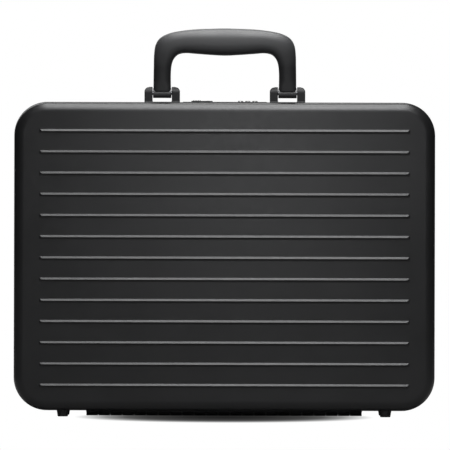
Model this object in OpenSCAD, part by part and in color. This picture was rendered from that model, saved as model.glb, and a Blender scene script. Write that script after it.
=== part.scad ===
// Aluminium attache case: two drawn shells in a tongue-and-groove frame, hinged along the bottom,
// with a folding handle, a three-dial combination latch and slotted lid stays.
// Millimetres. +Z up, -Y is the front (lid) side. Origin: ground plane, centre of the case.

/* [Case body] */
// Outer width over the frame
case_w = 430; // [424:2:436]
// Outer height over the frame, without the feet
case_h = 315; // [311:2:321]
// Depth from one panel to the other, without the beads
case_d = 104; // [104:1:112]
// Corner radius seen from the front
corner_r = 34; // [32:1:37]
// Edge radius between panel and side wall
edge_r = 9; // [8.5:0.25:9.5]
// Sheet thickness of the drawn shells
wall = 1.5; // [1.4:0.1:1.6]

/* [Beads] */
// Number of pressed beads on each panel
bead_n = 13; // [9:2:13]
// Spacing of the beads
bead_pitch = 21.6; // [20:0.05:21.8]
// Length of a bead
bead_len = 376.6; // [360:0.2:380]
// Bead height above the panel
bead_h = 1.6; // [1.2:0.1:1.8]
// Half width of a bead where it meets the panel
bead_hw = 1.8; // [1.6:0.1:2.4]

/* [Handle] */
// Height of the pivot above the frame top
pivot_up = 9.9; // [9.6:0.1:10.4]
// Distance of each handle leg from the middle
leg_x = 64.25; // [63.9:0.05:64.5]
// Half thickness of the grip, front to back
grip_t = 11; // [10:0.5:11.5]

/* [Lock] */
// Dial radius
dial_r = 7; // [6.8:0.1:7]
// Dial width
dial_w = 5.6; // [5.2:0.1:5.8]
// Spacing of the dials
dial_pitch = 7.3; // [7.2:0.05:7.4]
// Travel of the slide button and latch bar
latch_travel = 5; // [4:0.5:5]

/* [Hidden] */
$fn = 64;
// case
foot_h = 6;                       // body stands this far above the ground
mid_z = foot_h + case_h/2;
top_z = foot_h + case_h;          // top of the frame
half_d = case_d/2;
part_y = -12;                     // parting plane
shell_inset = 1.05;               // shell outer face lies this far inside the frame band
inner_top_z = top_z - shell_inset - wall;  // inner face of the top wall
slack = 0.05;                     // clearance between fixed parts
// the two halves, used as indexes
base = 0;
lid = 1;
rivet_y = [part_y + 9.5, part_y - 9.5];
foot_y = [36, -36];
foot_x = 164.5;
// lock and handle
lock_y = 6;                       // centre line of both
pivot_z = top_z + pivot_up;
button_slot_x = [-26.6, -14.4];
hook_x = [-129, 121];             // left edge of each latch hook
// hinge
hinge_z = 3.1;                    // axis height, at y = part_y
hinge_l = 282;
hinge_rivet_x = [-126:36:126];
// lid stay, points as [y, z]
hinge_axis = [part_y, hinge_z];
stay_pivot = [hinge_axis + [28.948, 61.336], hinge_axis + [-21.215, 76.157]];  // base, lid
stay_elbow = hinge_axis + [11.6305, 130.026];

NODES = ["base_shell", "base_frame", "frame_seal", "base_lining", "base_feet",
  "base_foot_screws", "base_rivets", "handle_bracket_left", "handle_bracket_right",
  "bracket_screws", "bracket_backing_plates", "handle_pins",
  "lock_plate", "lock_housing", "dial_shaft", "detent_spring", "latch_guides",
  "return_spring", "lock_cover", "hinge_leaf_base", "hinge_pin", "hinge_rivets_base",
  "stay_plate_base_left", "stay_plate_base_right", "stay_rivets_base",
  "hold_down_straps", "strap_buckles",
  "lid_shell", "lid_frame", "lid_lining", "lid_feet", "lid_foot_screws", "lid_rivets",
  "striker_left", "striker_right", "hinge_leaf_lid", "hinge_rivets_lid",
  "stay_plate_lid_left", "stay_plate_lid_right", "stay_rivets_lid", "organizer_panel",
  "file_pocket", "card_pockets", "pen_loops",
  "handle_core", "handle_grip", "slide_button", "latch_bar",
  "dial_1", "dial_2", "dial_3", "dial_cam_1", "dial_cam_2", "dial_cam_3",
  "stay_lower_arm_left", "stay_lower_arm_right", "stay_upper_arm_left", "stay_upper_arm_right"];
node = "all";

black = "#26272a";
dark = "#1b1c1e";
steel = "#8d9095";
rubber = "#141414";
cloth = "#33353a";
web = "#202125";

// ---------- helpers ----------
// A range is [low, high]; the axis a shape runs along takes a range.
function about(middle, half) = [middle - half, middle + half];
module box(x, y, z)
  translate([x[0], y[0], z[0]]) cube([x[1] - x[0], y[1] - y[0], z[1] - z[0]]);
module x_rod(x, y, z, r)
  translate([x[0], y, z]) rotate([0, 90, 0]) cylinder(h = x[1] - x[0], r = r);
module z_rod(x, y, z, r)
  translate([x, y, z[0]]) cylinder(h = z[1] - z[0], r = r);
// 2D children in (x, z), and in (y, z)
module y_extrude(y)
  translate([0, y[1], 0]) rotate([90, 0, 0]) linear_extrude(y[1] - y[0]) children();
module x_extrude(x)
  translate([x[0], 0, 0]) rotate([90, 0, 90]) linear_extrude(x[1] - x[0]) children();
// children are drawn for the right side
module on_side(side)
  if (side > 0) children();
  else mirror([1, 0, 0]) children();

module rounded_rect(w, h, r) {
  square([w - 2*r, h], center = true);
  square([w, h - 2*r], center = true);
  for (sx = [-1, 1], sy = [-1, 1])
    translate([sx*(w/2 - r), sy*(h/2 - r)]) circle(r = r);
}
// front outline of the case, moved inward
module outline(inset)
  translate([0, mid_z])
    rounded_rect(case_w - 2*inset, case_h - 2*inset, corner_r - inset, $fn = 96);
// band between two insets; y is measured from the parting plane
module ring(inset, y)
  y_extrude([part_y + y[0], part_y + y[1]]) difference() {
    outline(inset[0]);
    outline(inset[1]);
  }

// Faces of a tube whose points run ring by ring
function tube_walls(rings, sides) = [
  for (i = [0:rings - 2], k = [0:sides - 1])
    let (here = i*sides, ahead = here + sides, n = (k + 1)%sides)
      each [[here + k, ahead + k, ahead + n], [here + k, ahead + n, here + n]]];
function cap_rising(first, sides) = [for (k = [0:sides - 1]) first + k];
function cap_falling(first, sides) = [for (k = [sides - 1:-1:0]) first + k];

// ---------- trays: panel at y = panel, open end at y = open ----------
module edge_profile(reach, edge, panel, open) {
  flat = reach - edge;
  translate([0, open]) square([flat, panel - open]);
  translate([0, open]) square([reach, panel - edge - open]);
  translate([flat, panel - edge]) circle(r = edge);
}
module dome(inset, edge, panel, open) {
  corner = corner_r - inset;
  flat_x = case_w/2 - inset - corner;
  flat_z = case_h/2 - inset - corner;
  box(about(0, flat_x), [open, panel], about(mid_z, flat_z));
  for (s = [-1, 1]) {
    // left and right walls
    translate([s*flat_x, 0, mid_z - flat_z]) linear_extrude(2*flat_z)
      scale([s, 1]) edge_profile(corner, edge, panel, open);
    // top and bottom walls
    translate([0, 0, mid_z + s*flat_z])
      multmatrix([[0, 0, 1, -flat_x], [0, 1, 0, 0], [s, 0, 0, 0], [0, 0, 0, 1]])
        linear_extrude(2*flat_x) edge_profile(corner, edge, panel, open);
    for (t = [-1, 1])
      translate([s*flat_x, 0, mid_z + t*flat_z]) scale([s, 1, t])
        rotate([90, 0, 0]) mirror([0, 0, 1])
          rotate_extrude(angle = 90, $fn = 96) edge_profile(corner, edge, panel, open);
  }
}
// children are added to the outside before hollowing
module tray(inset, edge, panel, thick, open) difference() {
  union() {
    dome(inset, edge, panel, open);
    children();
  }
  dome(inset + thick, edge - thick, panel - thick, open - 2);
}

// ---------- fasteners ----------
// places around the frame; local +Z points outward, z = 0 on the frame band
module at_frame(half) {
  for (s = [-1, 1], z = [-95, 0, 95])
    translate([s*case_w/2, rivet_y[half], mid_z + z]) rotate([0, s*90, 0]) children();
  for (x = [-150, 150])
    translate([x, rivet_y[half], top_z]) children();
  for (x = [-172, 172])
    translate([x, rivet_y[half], foot_h]) rotate([180, 0, 0]) children();
}
module at_hinge(half)
  for (x = hinge_rivet_x)
    translate([x, rivet_y[half], foot_h]) rotate([180, 0, 0]) children();
module rivet_hole() translate([0, 0, -7]) cylinder(h = 9, r = 1.5);
module rivet_body(len) {
  translate([0, 0, -4.9]) cylinder(h = len, r = 1.45);
  translate([0, 0, -5.2]) cylinder(h = 0.78, r = 2.4);
}
module frame_rivets(half) color(dark) at_frame(half) {
  translate([0, 0, -0.6]) cylinder(h = 0.6, r = 2.55);
  rivet_body(4.9);
}
module hinge_rivets(half) color(dark) at_hinge(half) {
  translate([0, 0, 1.32]) cylinder(h = 0.8, r1 = 2.5, r2 = 1.7);
  rivet_body(6.6);
}
// rods used as both holes and fasteners
module foot_rods(half, z, r)
  for (s = [-1, 1]) z_rod(s*foot_x, foot_y[half], z, r);
module stay_rods(half, x, r)
  for (d = [-9.5, 9.5]) x_rod(x, stay_pivot[half][0], stay_pivot[half][1] + d, r);
module bracket_rods(z, r)
  for (s = [-1, 1], d = [-13, 13]) z_rod(s*leg_x + d, lock_y, z, r);
module lock_posts(z, r)
  for (s = [-1, 1]) z_rod(s*39.6, lock_y, z, r);
module stay_wall_holes(half)
  for (s = [-1, 1]) stay_rods(half, about(s*212, 4), 1.6);

// ---------- shells ----------
flange_t = 1.8;                   // frame thickness in front of the shell edge
bead_r = (bead_h*bead_h + bead_hw*bead_hw)/(2*bead_h);
bead_drop = 2.2;                  // beads sit slightly below mid height
bead_taper = 2.2;                 // length of each tapered end
module bead(z) translate([0, half_d + bead_h - bead_r, z]) rotate([0, 90, 0]) {
  cylinder(h = bead_len - 2*bead_taper, r = bead_r, center = true);
  for (m = [0, 1]) mirror([0, 0, m])
    translate([0, 0, bead_len/2 - bead_taper])
      cylinder(h = bead_taper, r1 = bead_r, r2 = bead_r - 1.25);
}
module shell(split_y)
  tray(shell_inset, edge_r, half_d, wall, split_y + flange_t + slack)
    for (k = [0:bead_n - 1])
      bead(mid_z - bead_drop + (k - (bead_n - 1)/2)*bead_pitch);
module shell_holes(half) {
  at_frame(half) rivet_hole();
  at_hinge(half) rivet_hole();
  foot_rods(half, [foot_h, foot_h + 4], 1.5);
  stay_wall_holes(half);
}
module base_shell() color(black) difference() {
  top_cut = [inner_top_z - 1, top_z];
  shell(part_y);
  shell_holes(base);
  box([12.2, 36], about(lock_y, 7), top_cut);
  box(button_slot_x, about(lock_y, 3), top_cut);
  bracket_rods(top_cut, 1.6);
  lock_posts(top_cut, 1.6);
}
module lid_shell() color(black) difference() {
  mirror([0, 1, 0]) shell(-part_y);
  shell_holes(lid);
}

// ---------- frames: insets from the outline, y from the parting plane ----------
part_gap = 0.15;                  // each frame stops this short of the parting plane
frame_in = 9.5;                   // frames reach this far inward
band_t = 1;                       // band outside the shell edge
band_y = 13.5;                    // depth of the band and of the rim behind the shell edge
rim_in = [shell_inset + wall + slack, 4.4];
groove = [5.9, 8.5];
groove_y = 5.1;
module frame_holes(half) {
  at_frame(half) {
    rivet_hole();
    translate([0, 0, -0.65]) cylinder(h = 1, r = 2.6);
  }
  at_hinge(half) rivet_hole();
}
module base_frame() color(dark) difference() {
  union() {
    ring([0, frame_in], [part_gap, flange_t]);
    ring([0, band_t], [flange_t, band_y]);
    ring([rim_in[0], frame_in], [flange_t, 7]);
    ring(rim_in, [7, band_y]);
  }
  ring(groove, [-1, groove_y]);
  frame_holes(base);
  // room for the lock and handle in the top rail
  box([-86, 86], [part_y + 7.6, part_y + 15], [mid_z, top_z + 1]);
}
module lid_frame() color(dark) difference() {
  union() {
    ring([0, frame_in], [-flange_t, -part_gap]);
    ring([0, band_t], [-band_y, -flange_t]);
    ring(rim_in, [-band_y, -flange_t]);
    ring([6.3, 7.7], [-0.5, 3.2]);  // tongue
  }
  frame_holes(lid);
}
module frame_seal() color(rubber)
  ring([groove[0] + slack, groove[1] - slack], [3.3, groove_y - slack]);

// ---------- linings ----------
module lining(open) tray(2.75, 7.3, half_d - 1.7, 2, open);
module lining_holes(half) {
  foot_rods(half, [foot_h, foot_h + 6], 2.8);
  stay_wall_holes(half);
}
module base_lining() color(cloth) difference() {
  lining(2.2);
  lining_holes(base);
  box([-112, 112], [0, 24], [top_z - 22, top_z]);
}
module lid_lining() color(cloth) difference() {
  mirror([0, 1, 0]) lining(25.8);
  lining_holes(lid);
}

// ---------- feet ----------
module feet(half) color(rubber) difference() {
  for (s = [-1, 1]) translate([s*foot_x, foot_y[half], 0])
    cylinder(h = foot_h + shell_inset - 0.03, r1 = 5.2, r2 = 6.4);
  foot_rods(half, [-1, 2.6], 3);
  foot_rods(half, [2, 9], 1.5);
}
module foot_screws(half) color(steel) difference() {
  union() {
    foot_rods(half, [1, 2.58], 2.7);
    foot_rods(half, [2.5, foot_h + 4], 1.42);
    foot_rods(half, [foot_h + shell_inset + wall + 0.02, foot_h + 4.4], 2.6);
  }
  for (s = [-1, 1]) box(about(s*foot_x, 0.35), about(foot_y[half], 3), [0, 1.6]);
}

// ---------- hinge ----------
knuckles = 23;
knuckle_pitch = hinge_l/knuckles;
knuckle_gap = 0.17;               // at each end of a knuckle
leaf_z = [4.7, foot_h - 0.02];
// Drawn on the +Y side of the axis; base has the even knuckles, lid the odd ones
module hinge_leaf(half) difference() {
  union() {
    box(about(0, hinge_l/2), [3, 13.2], leaf_z);
    for (k = [half:2:knuckles - 1]) {
      start = -hinge_l/2 + k*knuckle_pitch;
      x = [start + knuckle_gap, start + knuckle_pitch - knuckle_gap];
      x_rod(x, 0, hinge_z, 2.6);
      box(x, [0.3, 3.2], leaf_z);
    }
  }
  x_rod(about(0, hinge_l), 0, hinge_z, 1.55);
  for (x = hinge_rivet_x) z_rod(x, 9.5, [0, 9], 1.5);
}
module hinge_leaf_base() color(dark)
  translate([0, part_y, 0]) hinge_leaf(base);
module hinge_leaf_lid() color(dark)
  translate([0, part_y, 0]) mirror([0, 1, 0]) hinge_leaf(lid);
module hinge_pin() color(steel) x_rod(about(0, hinge_l/2 - 0.2), part_y, hinge_z, 1.5);

// ---------- handle brackets ----------
bracket_w = 36.3;
lug_r = 6.3;
lug_half_w = 4.15;
shoulder_r = 5;
module handle_bracket(side) color(black) difference() {
  union() {
    translate([side*leg_x, lock_y, top_z - 1]) linear_extrude(1.8)
      rounded_rect(bracket_w, 18.8, 2);
    for (t = [-1, 1]) intersection() {
      lug_x = about(side*leg_x + t*(bracket_w/2 - lug_half_w), lug_half_w);
      union() {
        x_rod(lug_x, lock_y, pivot_z, lug_r);
        box(lug_x, about(lock_y, lug_r), [top_z + 0.6, pivot_z]);
      }
      // rounded outer shoulder
      y_extrude([-10, 25]) translate([side*leg_x, 0]) {
        translate([-bracket_w/2, top_z - 2]) square([bracket_w, pivot_up + 3.3]);
        translate([shoulder_r - bracket_w/2, top_z - 2])
          square([bracket_w - 2*shoulder_r, pivot_up + 9]);
        for (a = [-1, 1])
          translate([a*(bracket_w/2 - shoulder_r), pivot_z + 1.3]) circle(r = shoulder_r);
      }
    }
  }
  x_rod(about(side*leg_x, 25), lock_y, pivot_z, 2.03);
  bracket_rods([top_z - 2, top_z + 0.5], 1.55);
}
module bracket_backing_plates() color(steel) difference() {
  for (s = [-1, 1])
    box(about(s*leg_x, 18), about(lock_y, 6), [inner_top_z - 1.55, inner_top_z - slack]);
  bracket_rods([inner_top_z - 3, inner_top_z + 1], 1.6);
}
module bracket_screws() color(steel) {
  bracket_rods([inner_top_z - 3.4, inner_top_z - 1.58], 2.75);
  bracket_rods([inner_top_z - 2, top_z + 0.3], 1.5);
}
module handle_pins() color(steel)
  for (s = [-1, 1]) x_rod(about(s*leg_x, 18), lock_y, pivot_z, 2);

// ---------- handle ----------
// Grip stations, one half from leg end to middle:
// outer x, outer height, inner x, inner height (above the frame top), half thickness
grip_stations = [
  [73.2, 11.1, 55.2, 11.1, 6.4], [73.2, 22.8, 55.4, 20.8, 6.5],
  [73.0, 36.2, 55.4, 29.8, 6.9], [72.7, 49.0, 54.8, 37.4, 7.6],
  [71.2, 59.0, 53.4, 42.7, 8.6], [66.5, 66.3, 51.0, 46.6, 9.4],
  [57.2, 71.1, 47.2, 49.5, 10], [45.0, 73.7, 40.2, 50.8, 10.4],
  [30.2, 75.3, 30.2, 50.1, grip_t - 0.2], [15.0, 75.9, 15.0, 49.0, grip_t],
  [0, 76.3, 0, 48.3, grip_t]];
last = len(grip_stations) - 1;
grip_steps = 2;                   // sections per station interval
grip_sides = 18;                  // points per section
function flip(p) = [-p[0], p[1], -p[2], p[3], p[4]];
all_stations = [for (i = [0:2*last])
  i <= last ? flip(grip_stations[i]) : grip_stations[2*last - i]];
function station(i) = all_stations[max(0, min(2*last, i))];
// Catmull-Rom curve from p1 to p2
function spline(p0, p1, p2, p3, t) =
  0.5*((2*p1) + (p2 - p0)*t + (2*p0 - 5*p1 + 4*p2 - p3)*t*t + (3*p1 - p0 - 3*p2 + p3)*t*t*t);
grip_path = [
  for (i = [0:2*last - 1], j = [0:grip_steps - 1])
    spline(station(i - 1), station(i), station(i + 1), station(i + 2), j/grip_steps),
  station(2*last)];
function signed_pow(v, e) = sign(v)*pow(abs(v), e);
// superellipse between the outer and inner line of a station
function section(p) = [
  for (k = [0:grip_sides - 1])
    let (a = 360*k/grip_sides, u = signed_pow(cos(a), 0.8), v = signed_pow(sin(a), 0.8))
      [(p[0] + p[2])/2 + u*(p[0] - p[2])/2,
       lock_y + v*p[4],
       top_z + (p[1] + p[3])/2 + u*(p[1] - p[3])/2]];
module grip_solid() {
  rings = len(grip_path);
  polyhedron(
    points = [for (p = grip_path) each section(p)],
    faces = concat(
      [cap_falling(0, grip_sides)],
      tube_walls(rings, grip_sides),
      [cap_rising((rings - 1)*grip_sides, grip_sides)]),
    convexity = 6);
}
core_up = 58;                     // middle of the core crossbar above the frame top
module core_strip(grow) {
  y = about(lock_y, 2 + grow);
  for (s = [-1, 1])
    box(about(s*leg_x, 4 + grow), y, [pivot_z + 4, top_z + core_up + grow]);
  box(about(0, 61 + grow), y, about(top_z + core_up, 4 + grow));
}
module leg_rods(half_len, r)
  for (s = [-1, 1]) x_rod(about(s*leg_x, half_len), lock_y, pivot_z, r);
module handle_core() color(dark) difference() {
  union() {
    core_strip(0);
    leg_rods(9.4, 5.2);
  }
  leg_rods(12, 2.06);
}
module handle_grip() color(rubber) difference() {
  grip_solid();
  core_strip(0.06);
  leg_rods(12, 5.3);
}

// ---------- lock ----------
dial_x = [for (i = [0:2]) 16.2 + i*dial_pitch];
dial_z = top_z + 2 - dial_r;
dial_chamfer = 0.5;               // width of the bevel at each dial face
bar_z = [top_z - 15.6, top_z - 13.8];
module lock_plate() color(dark) difference() {
  opening_z = [top_z - 2, top_z + 3];
  union() {
    translate([0, lock_y, top_z - 1]) linear_extrude(1.8) rounded_rect(86.4, 20.4, 3);
    lock_posts([top_z - 9, top_z - 0.5], 1.5);
  }
  for (x = dial_x) box(about(x, dial_w/2 + 0.3), about(lock_y, 6.2), opening_z);
  box(button_slot_x, about(lock_y, 2.8), opening_z);
}
module lock_housing() color(dark) difference() {
  box([-43, 43], [lock_y - 8.8, lock_y + 9.4], [top_z - 13.2, inner_top_z - slack]);
  // cavity, with a cross wall that carries the left end of the dial shaft
  difference() {
    box([-36.8, 36.8], [lock_y - 7.6, lock_y + 8.2], [top_z - 12.2, top_z]);
    box([10.2, 12], about(lock_y, 9), [top_z - 14, top_z]);
  }
  box(button_slot_x, about(lock_y, 3), [top_z - 14, top_z]);
  x_rod([10, 37.9], lock_y, dial_z, 1.52);
  lock_posts([top_z - 10, top_z], 1.53);
}
module dial_shaft() color(steel) x_rod([10.4, 37.8], lock_y, dial_z, 1.5);
module detent_spring() color(steel) difference() {
  box([12.4, 36.6], [lock_y + 7.35, lock_y + 7.75], [top_z - 11.8, top_z - 3.2]);
  // slits between the three leaves
  for (i = [0, 1])
    box(about(dial_x[i] + dial_pitch/2, 0.6), [lock_y + 7, lock_y + 8],
      [top_z - 9.5, top_z - 3]);
}
module dial(i) color(dark) difference() {
  flat = dial_w/2 - dial_chamfer;
  union() {
    x_rod(about(dial_x[i], flat), lock_y, dial_z, dial_r);
    for (m = [-1, 1])
      translate([dial_x[i] + m*flat, lock_y, dial_z]) rotate([0, m*90, 0])
        cylinder(h = dial_chamfer, r1 = dial_r, r2 = dial_r - 0.6);
  }
  x_rod([0, 50], lock_y, dial_z, 2.62);
  // ten shallow finger grooves
  for (k = [0:9])
    translate([dial_x[i], lock_y, dial_z]) rotate([36*k + 18, 0, 0])
      x_rod([-5, 5], 0, dial_r + 0.25, 0.7);
}
// sleeve inside a dial with a flange that has one flat, at the bottom
module dial_cam(i) color(steel) difference() {
  x = dial_x[i];
  union() {
    x_rod([x - 2.9, x + 3.2], lock_y, dial_z, 2.56);
    x_rod([x + 2.95, x + 4.15], lock_y, dial_z, 3.6);
  }
  x_rod([0, 50], lock_y, dial_z, 1.56);
  box([x + 2.9, x + 5], about(lock_y, 5), [dial_z - 5, dial_z - 2.9]);
}
module slide_button() color(dark) {
  translate([-23.4, lock_y, top_z + 0.86]) linear_extrude(1.0) rounded_rect(21.8, 9, 1.8);
  // raised pad on the left of the button
  box([-33.2, -24.9], about(lock_y, 3.6), [top_z + 1.8, top_z + 2.45]);
  // stem down to the latch bar
  box([-26, -20], about(lock_y, 2.4), [top_z - 13.78, top_z + 1]);
}
module latch_bar() color(steel) {
  difference() {
    box([-150, 146], [-4, 8], bar_z);
    for (x = [-60, 60]) translate([x, 2, bar_z[0] - 1]) linear_extrude(4) {
      square([60, 4], center = true);
      for (a = [-30, 30]) translate([a, 0]) circle(r = 2);
    }
  }
  // L-shaped hooks toward the lid
  for (x = hook_x) {
    box([x, x + 4], [-22, -3.9], bar_z);
    box([x + 3.9, x + 8], [-22, -18.2], bar_z);
  }
  // tab for the return spring
  box([-81, -79.2], [-1.5, 5.5], [bar_z[1] - 0.1, top_z - 8]);
}
// brackets hung from the top wall, wrapped under the latch bar
module latch_guides() color(steel) for (middle = [-100, 100]) {
  x = about(middle, 5);
  under_z = bar_z[0] - 1.6;
  box(x, [8.4, 18], [inner_top_z - 1.25, inner_top_z - slack]);
  box(x, [8.4, 9.6], [under_z, inner_top_z - 1.2]);
  box(x, [-5.6, 9], [under_z, bar_z[0] - 0.3]);
  box(x, [-5.6, -4.4], [bar_z[0] - 1.5, bar_z[1] + 0.8]);
  // spring seat on the left guide
  if (middle < 0)
    box([middle + 3.5, middle + 5], [-1.5, 8.5], [bar_z[1] + 0.4, top_z - 7.5]);
}
// compression spring along X between the left guide and the latch bar tab
module return_spring() {
  turn_steps = 14;
  steps = 7*turn_steps;
  len = 13;
  coil_r = 2.2;
  wire_r = 0.35;
  sides = 6;
  points = [
    for (i = [0:steps])
      let (a = 360*i/turn_steps, x = 0.5 + len*i/steps)
        each [for (k = [0:sides - 1])
          let (b = 360*k/sides, r = coil_r + wire_r*sin(b))
            [x + wire_r*cos(b), r*cos(a), r*sin(a)]]];
  faces = concat(
    [cap_rising(0, sides)],
    tube_walls(steps + 1, sides),
    [cap_falling(steps*sides, sides)]);
  color(steel) translate([-95, 2, top_z - 10.8])
    polyhedron(points = points, faces = faces, convexity = 10);
}
// moulded cover over the latch bar and the lock
module top_band(inset, drop, y) y_extrude(y) intersection() {
  outline(inset);
  translate([-300, top_z - drop]) square([600, 60]);
}
module lock_cover() color(dark) difference() {
  union() {
    top_band(frame_in + 0.25, 21, [-9, 0.3]);
    top_band(4.9, 21, [0.2, 22]);
  }
  top_band(frame_in + 1.7, 19.6, [-7.6, 1]);
  top_band(6.4, 19.6, [0.9, 20.6]);
  box([-176, 176], [-7.6, 20.6], [top_z - 16, top_z + 5]);
  // hook slots, long enough for the travel
  for (x = hook_x)
    box([x - 1, x + 8 + latch_travel + 1], [-10, -7], [bar_z[0] - 0.9, bar_z[1] + 0.9]);
}
module striker(x) color(steel) difference() {
  union() {
    box([x - 5, x + 17], [-17.5, -16], [top_z - 19, top_z - 4.45]);
    box([x - 5, x + 17], [-25, -17.4], [top_z - 5.95, top_z - 4.45]);
  }
  box([x - 0.8, x + 9.8], [-20, -15], [top_z - 17.5, top_z - 11.5]);
}

// ---------- lid stays, drawn for the right side; arms lie in planes of constant X ----------
stay_x = 203.9;                   // outer face of the lower arm
stay_angle = 148.647;             // upper arm, degrees from +Z toward -Y
stay_slot = [63.09, 70.6];        // slot along the upper arm, from the elbow
arm_r = 5;
arm_t = 1.5;
arm_hole_r = 2.5;
stay_pin_r = 2.44;
pin_head_r = 3.9;
module stay_rod(x, p, r) x_rod(x, p[0], p[1], r);
// 2D bar with round ends, in (y, z)
module arm_shape(from, to, r) {
  d = to - from;
  translate(from) circle(r = r);
  translate(to) circle(r = r);
  translate(from) rotate(atan2(d[1], d[0])) translate([0, -r]) square([norm(d), 2*r]);
}
module stay_plate(half, boss_x, head_x) {
  p = stay_pivot[half];
  difference() {
    box([208.6, 210.2], about(p[0], 8), about(p[1], 14));
    stay_rods(half, [200, 215], 1.6);
  }
  stay_rod([boss_x, 208.7], p, 4.6);
  stay_rod([head_x + 0.8, boss_x + 0.1], p, stay_pin_r);
  stay_rod([head_x, head_x + 0.9], p, pin_head_r);
}
module stay_plate_base(side) color(steel)
  on_side(side) stay_plate(base, stay_x + 0.3, stay_x - 2.6);
module stay_plate_lid(side) color(steel)
  on_side(side) stay_plate(lid, stay_x - 1.6, stay_x - 4.6);
module stay_lower_arm(side) color(steel) on_side(side) {
  difference() {
    x_extrude([stay_x - arm_t, stay_x]) arm_shape(stay_pivot[base], stay_elbow, arm_r);
    stay_rod([190, 215], stay_pivot[base], arm_hole_r);
  }
  // elbow pin
  stay_rod([stay_x - 4.1, stay_x - 1.4], stay_elbow, stay_pin_r);
  stay_rod([stay_x - 4.9, stay_x - 4.05], stay_elbow, pin_head_r);
}
module stay_upper_arm(side) color(steel) on_side(side) {
  along = [-sin(stay_angle), cos(stay_angle)];
  slot_start = stay_elbow + (stay_slot[0] - 0.3)*along;
  slot_end = stay_elbow + (stay_slot[1] + 0.2)*along;
  difference() {
    x_extrude([stay_x - 1.9 - arm_t, stay_x - 1.9]) arm_shape(stay_elbow, slot_end, arm_r);
    stay_rod([190, 215], stay_elbow, arm_hole_r);
    x_extrude([190, 215]) arm_shape(slot_start, slot_end, 2.65);
  }
}
module stay_rivets(half) color(steel) for (s = [-1, 1]) on_side(s) {
  stay_rods(half, [207.8, 208.57], 2.6);
  stay_rods(half, [208.5, 214.3], 1.5);
  for (d = [-9.5, 9.5])
    translate([213.98, stay_pivot[half][0], stay_pivot[half][1] + d]) rotate([0, 90, 0])
      cylinder(h = 0.8, r1 = 2.9, r2 = 2.1);
}

// ---------- interior fittings ----------
strap_x = 78;
pocket_y = -half_d + 5.7;         // front side of the pockets, next to the organizer panel
pocket_t = 1.2;
module hold_down_straps() color(web)
  for (s = [-1, 1])
    box(about(s*strap_x, 12.5), [half_d - 5.1, half_d - 3.9], [34, top_z - 28]);
module strap_buckles() color(dark) for (s = [-1, 1]) difference() {
  box(about(s*strap_x, 17), [half_d - 8, half_d - 5.2], about(mid_z, 14));
  for (d = [-7, 7])
    box(about(s*strap_x, 13), [half_d - 9, half_d - 4], about(mid_z + d, 4));
}
module organizer_panel() color(cloth)
  box([-172, 172], [-half_d + 3.8, -half_d + 5.6], [34, 293]);
// pocket open at the top and toward the panel
module sleeve(x, depth, z) difference() {
  box(x, [pocket_y, pocket_y + depth], z);
  box([x[0] + pocket_t, x[1] - pocket_t], [-half_d + 5, pocket_y + depth - pocket_t],
    [z[0] + pocket_t, z[1] + 1]);
}
module file_pocket() color(web) sleeve([-168, 168], 4.5, [38, 214]);
module card_pockets() color(web)
  for (x = [-160:72:-16]) sleeve([x, x + 66], 2.8, [222, 284]);
module pen_loops() color(web) for (x = [82:30:142]) difference() {
  union() {
    box(about(x, 9), [pocket_y, -half_d + 10], [226, 264]);
    z_rod(x, -half_d + 10, [226, 264], 7.2);
  }
  z_rod(x, -half_d + 11.2, [200, 290], 5.2);
  box([60, 170], [-half_d, pocket_y], [200, 290]);
}

function shown(name) = node == "all" || node == name;
if (shown("base_shell")) base_shell();
if (shown("base_frame")) base_frame();
if (shown("frame_seal")) frame_seal();
if (shown("base_lining")) base_lining();
if (shown("base_feet")) feet(base);
if (shown("base_foot_screws")) foot_screws(base);
if (shown("base_rivets")) frame_rivets(base);
if (shown("handle_bracket_left")) handle_bracket(-1);
if (shown("handle_bracket_right")) handle_bracket(1);
if (shown("bracket_screws")) bracket_screws();
if (shown("bracket_backing_plates")) bracket_backing_plates();
if (shown("handle_pins")) handle_pins();
if (shown("lock_plate")) lock_plate();
if (shown("lock_housing")) lock_housing();
if (shown("dial_shaft")) dial_shaft();
if (shown("detent_spring")) detent_spring();
if (shown("latch_guides")) latch_guides();
if (shown("return_spring")) return_spring();
if (shown("lock_cover")) lock_cover();
if (shown("hinge_leaf_base")) hinge_leaf_base();
if (shown("hinge_pin")) hinge_pin();
if (shown("hinge_rivets_base")) hinge_rivets(base);
if (shown("stay_plate_base_left")) stay_plate_base(-1);
if (shown("stay_plate_base_right")) stay_plate_base(1);
if (shown("stay_rivets_base")) stay_rivets(base);
if (shown("hold_down_straps")) hold_down_straps();
if (shown("strap_buckles")) strap_buckles();
if (shown("lid_shell")) lid_shell();
if (shown("lid_frame")) lid_frame();
if (shown("lid_lining")) lid_lining();
if (shown("lid_feet")) feet(lid);
if (shown("lid_foot_screws")) foot_screws(lid);
if (shown("lid_rivets")) frame_rivets(lid);
if (shown("striker_left")) striker(hook_x[0]);
if (shown("striker_right")) striker(hook_x[1]);
if (shown("hinge_leaf_lid")) hinge_leaf_lid();
if (shown("hinge_rivets_lid")) hinge_rivets(lid);
if (shown("stay_plate_lid_left")) stay_plate_lid(-1);
if (shown("stay_plate_lid_right")) stay_plate_lid(1);
if (shown("stay_rivets_lid")) stay_rivets(lid);
if (shown("organizer_panel")) organizer_panel();
if (shown("file_pocket")) file_pocket();
if (shown("card_pockets")) card_pockets();
if (shown("pen_loops")) pen_loops();
if (shown("handle_core")) handle_core();
if (shown("handle_grip")) handle_grip();
if (shown("slide_button")) slide_button();
if (shown("latch_bar")) latch_bar();
if (shown("dial_1")) dial(0);
if (shown("dial_2")) dial(1);
if (shown("dial_3")) dial(2);
if (shown("dial_cam_1")) dial_cam(0);
if (shown("dial_cam_2")) dial_cam(1);
if (shown("dial_cam_3")) dial_cam(2);
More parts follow.
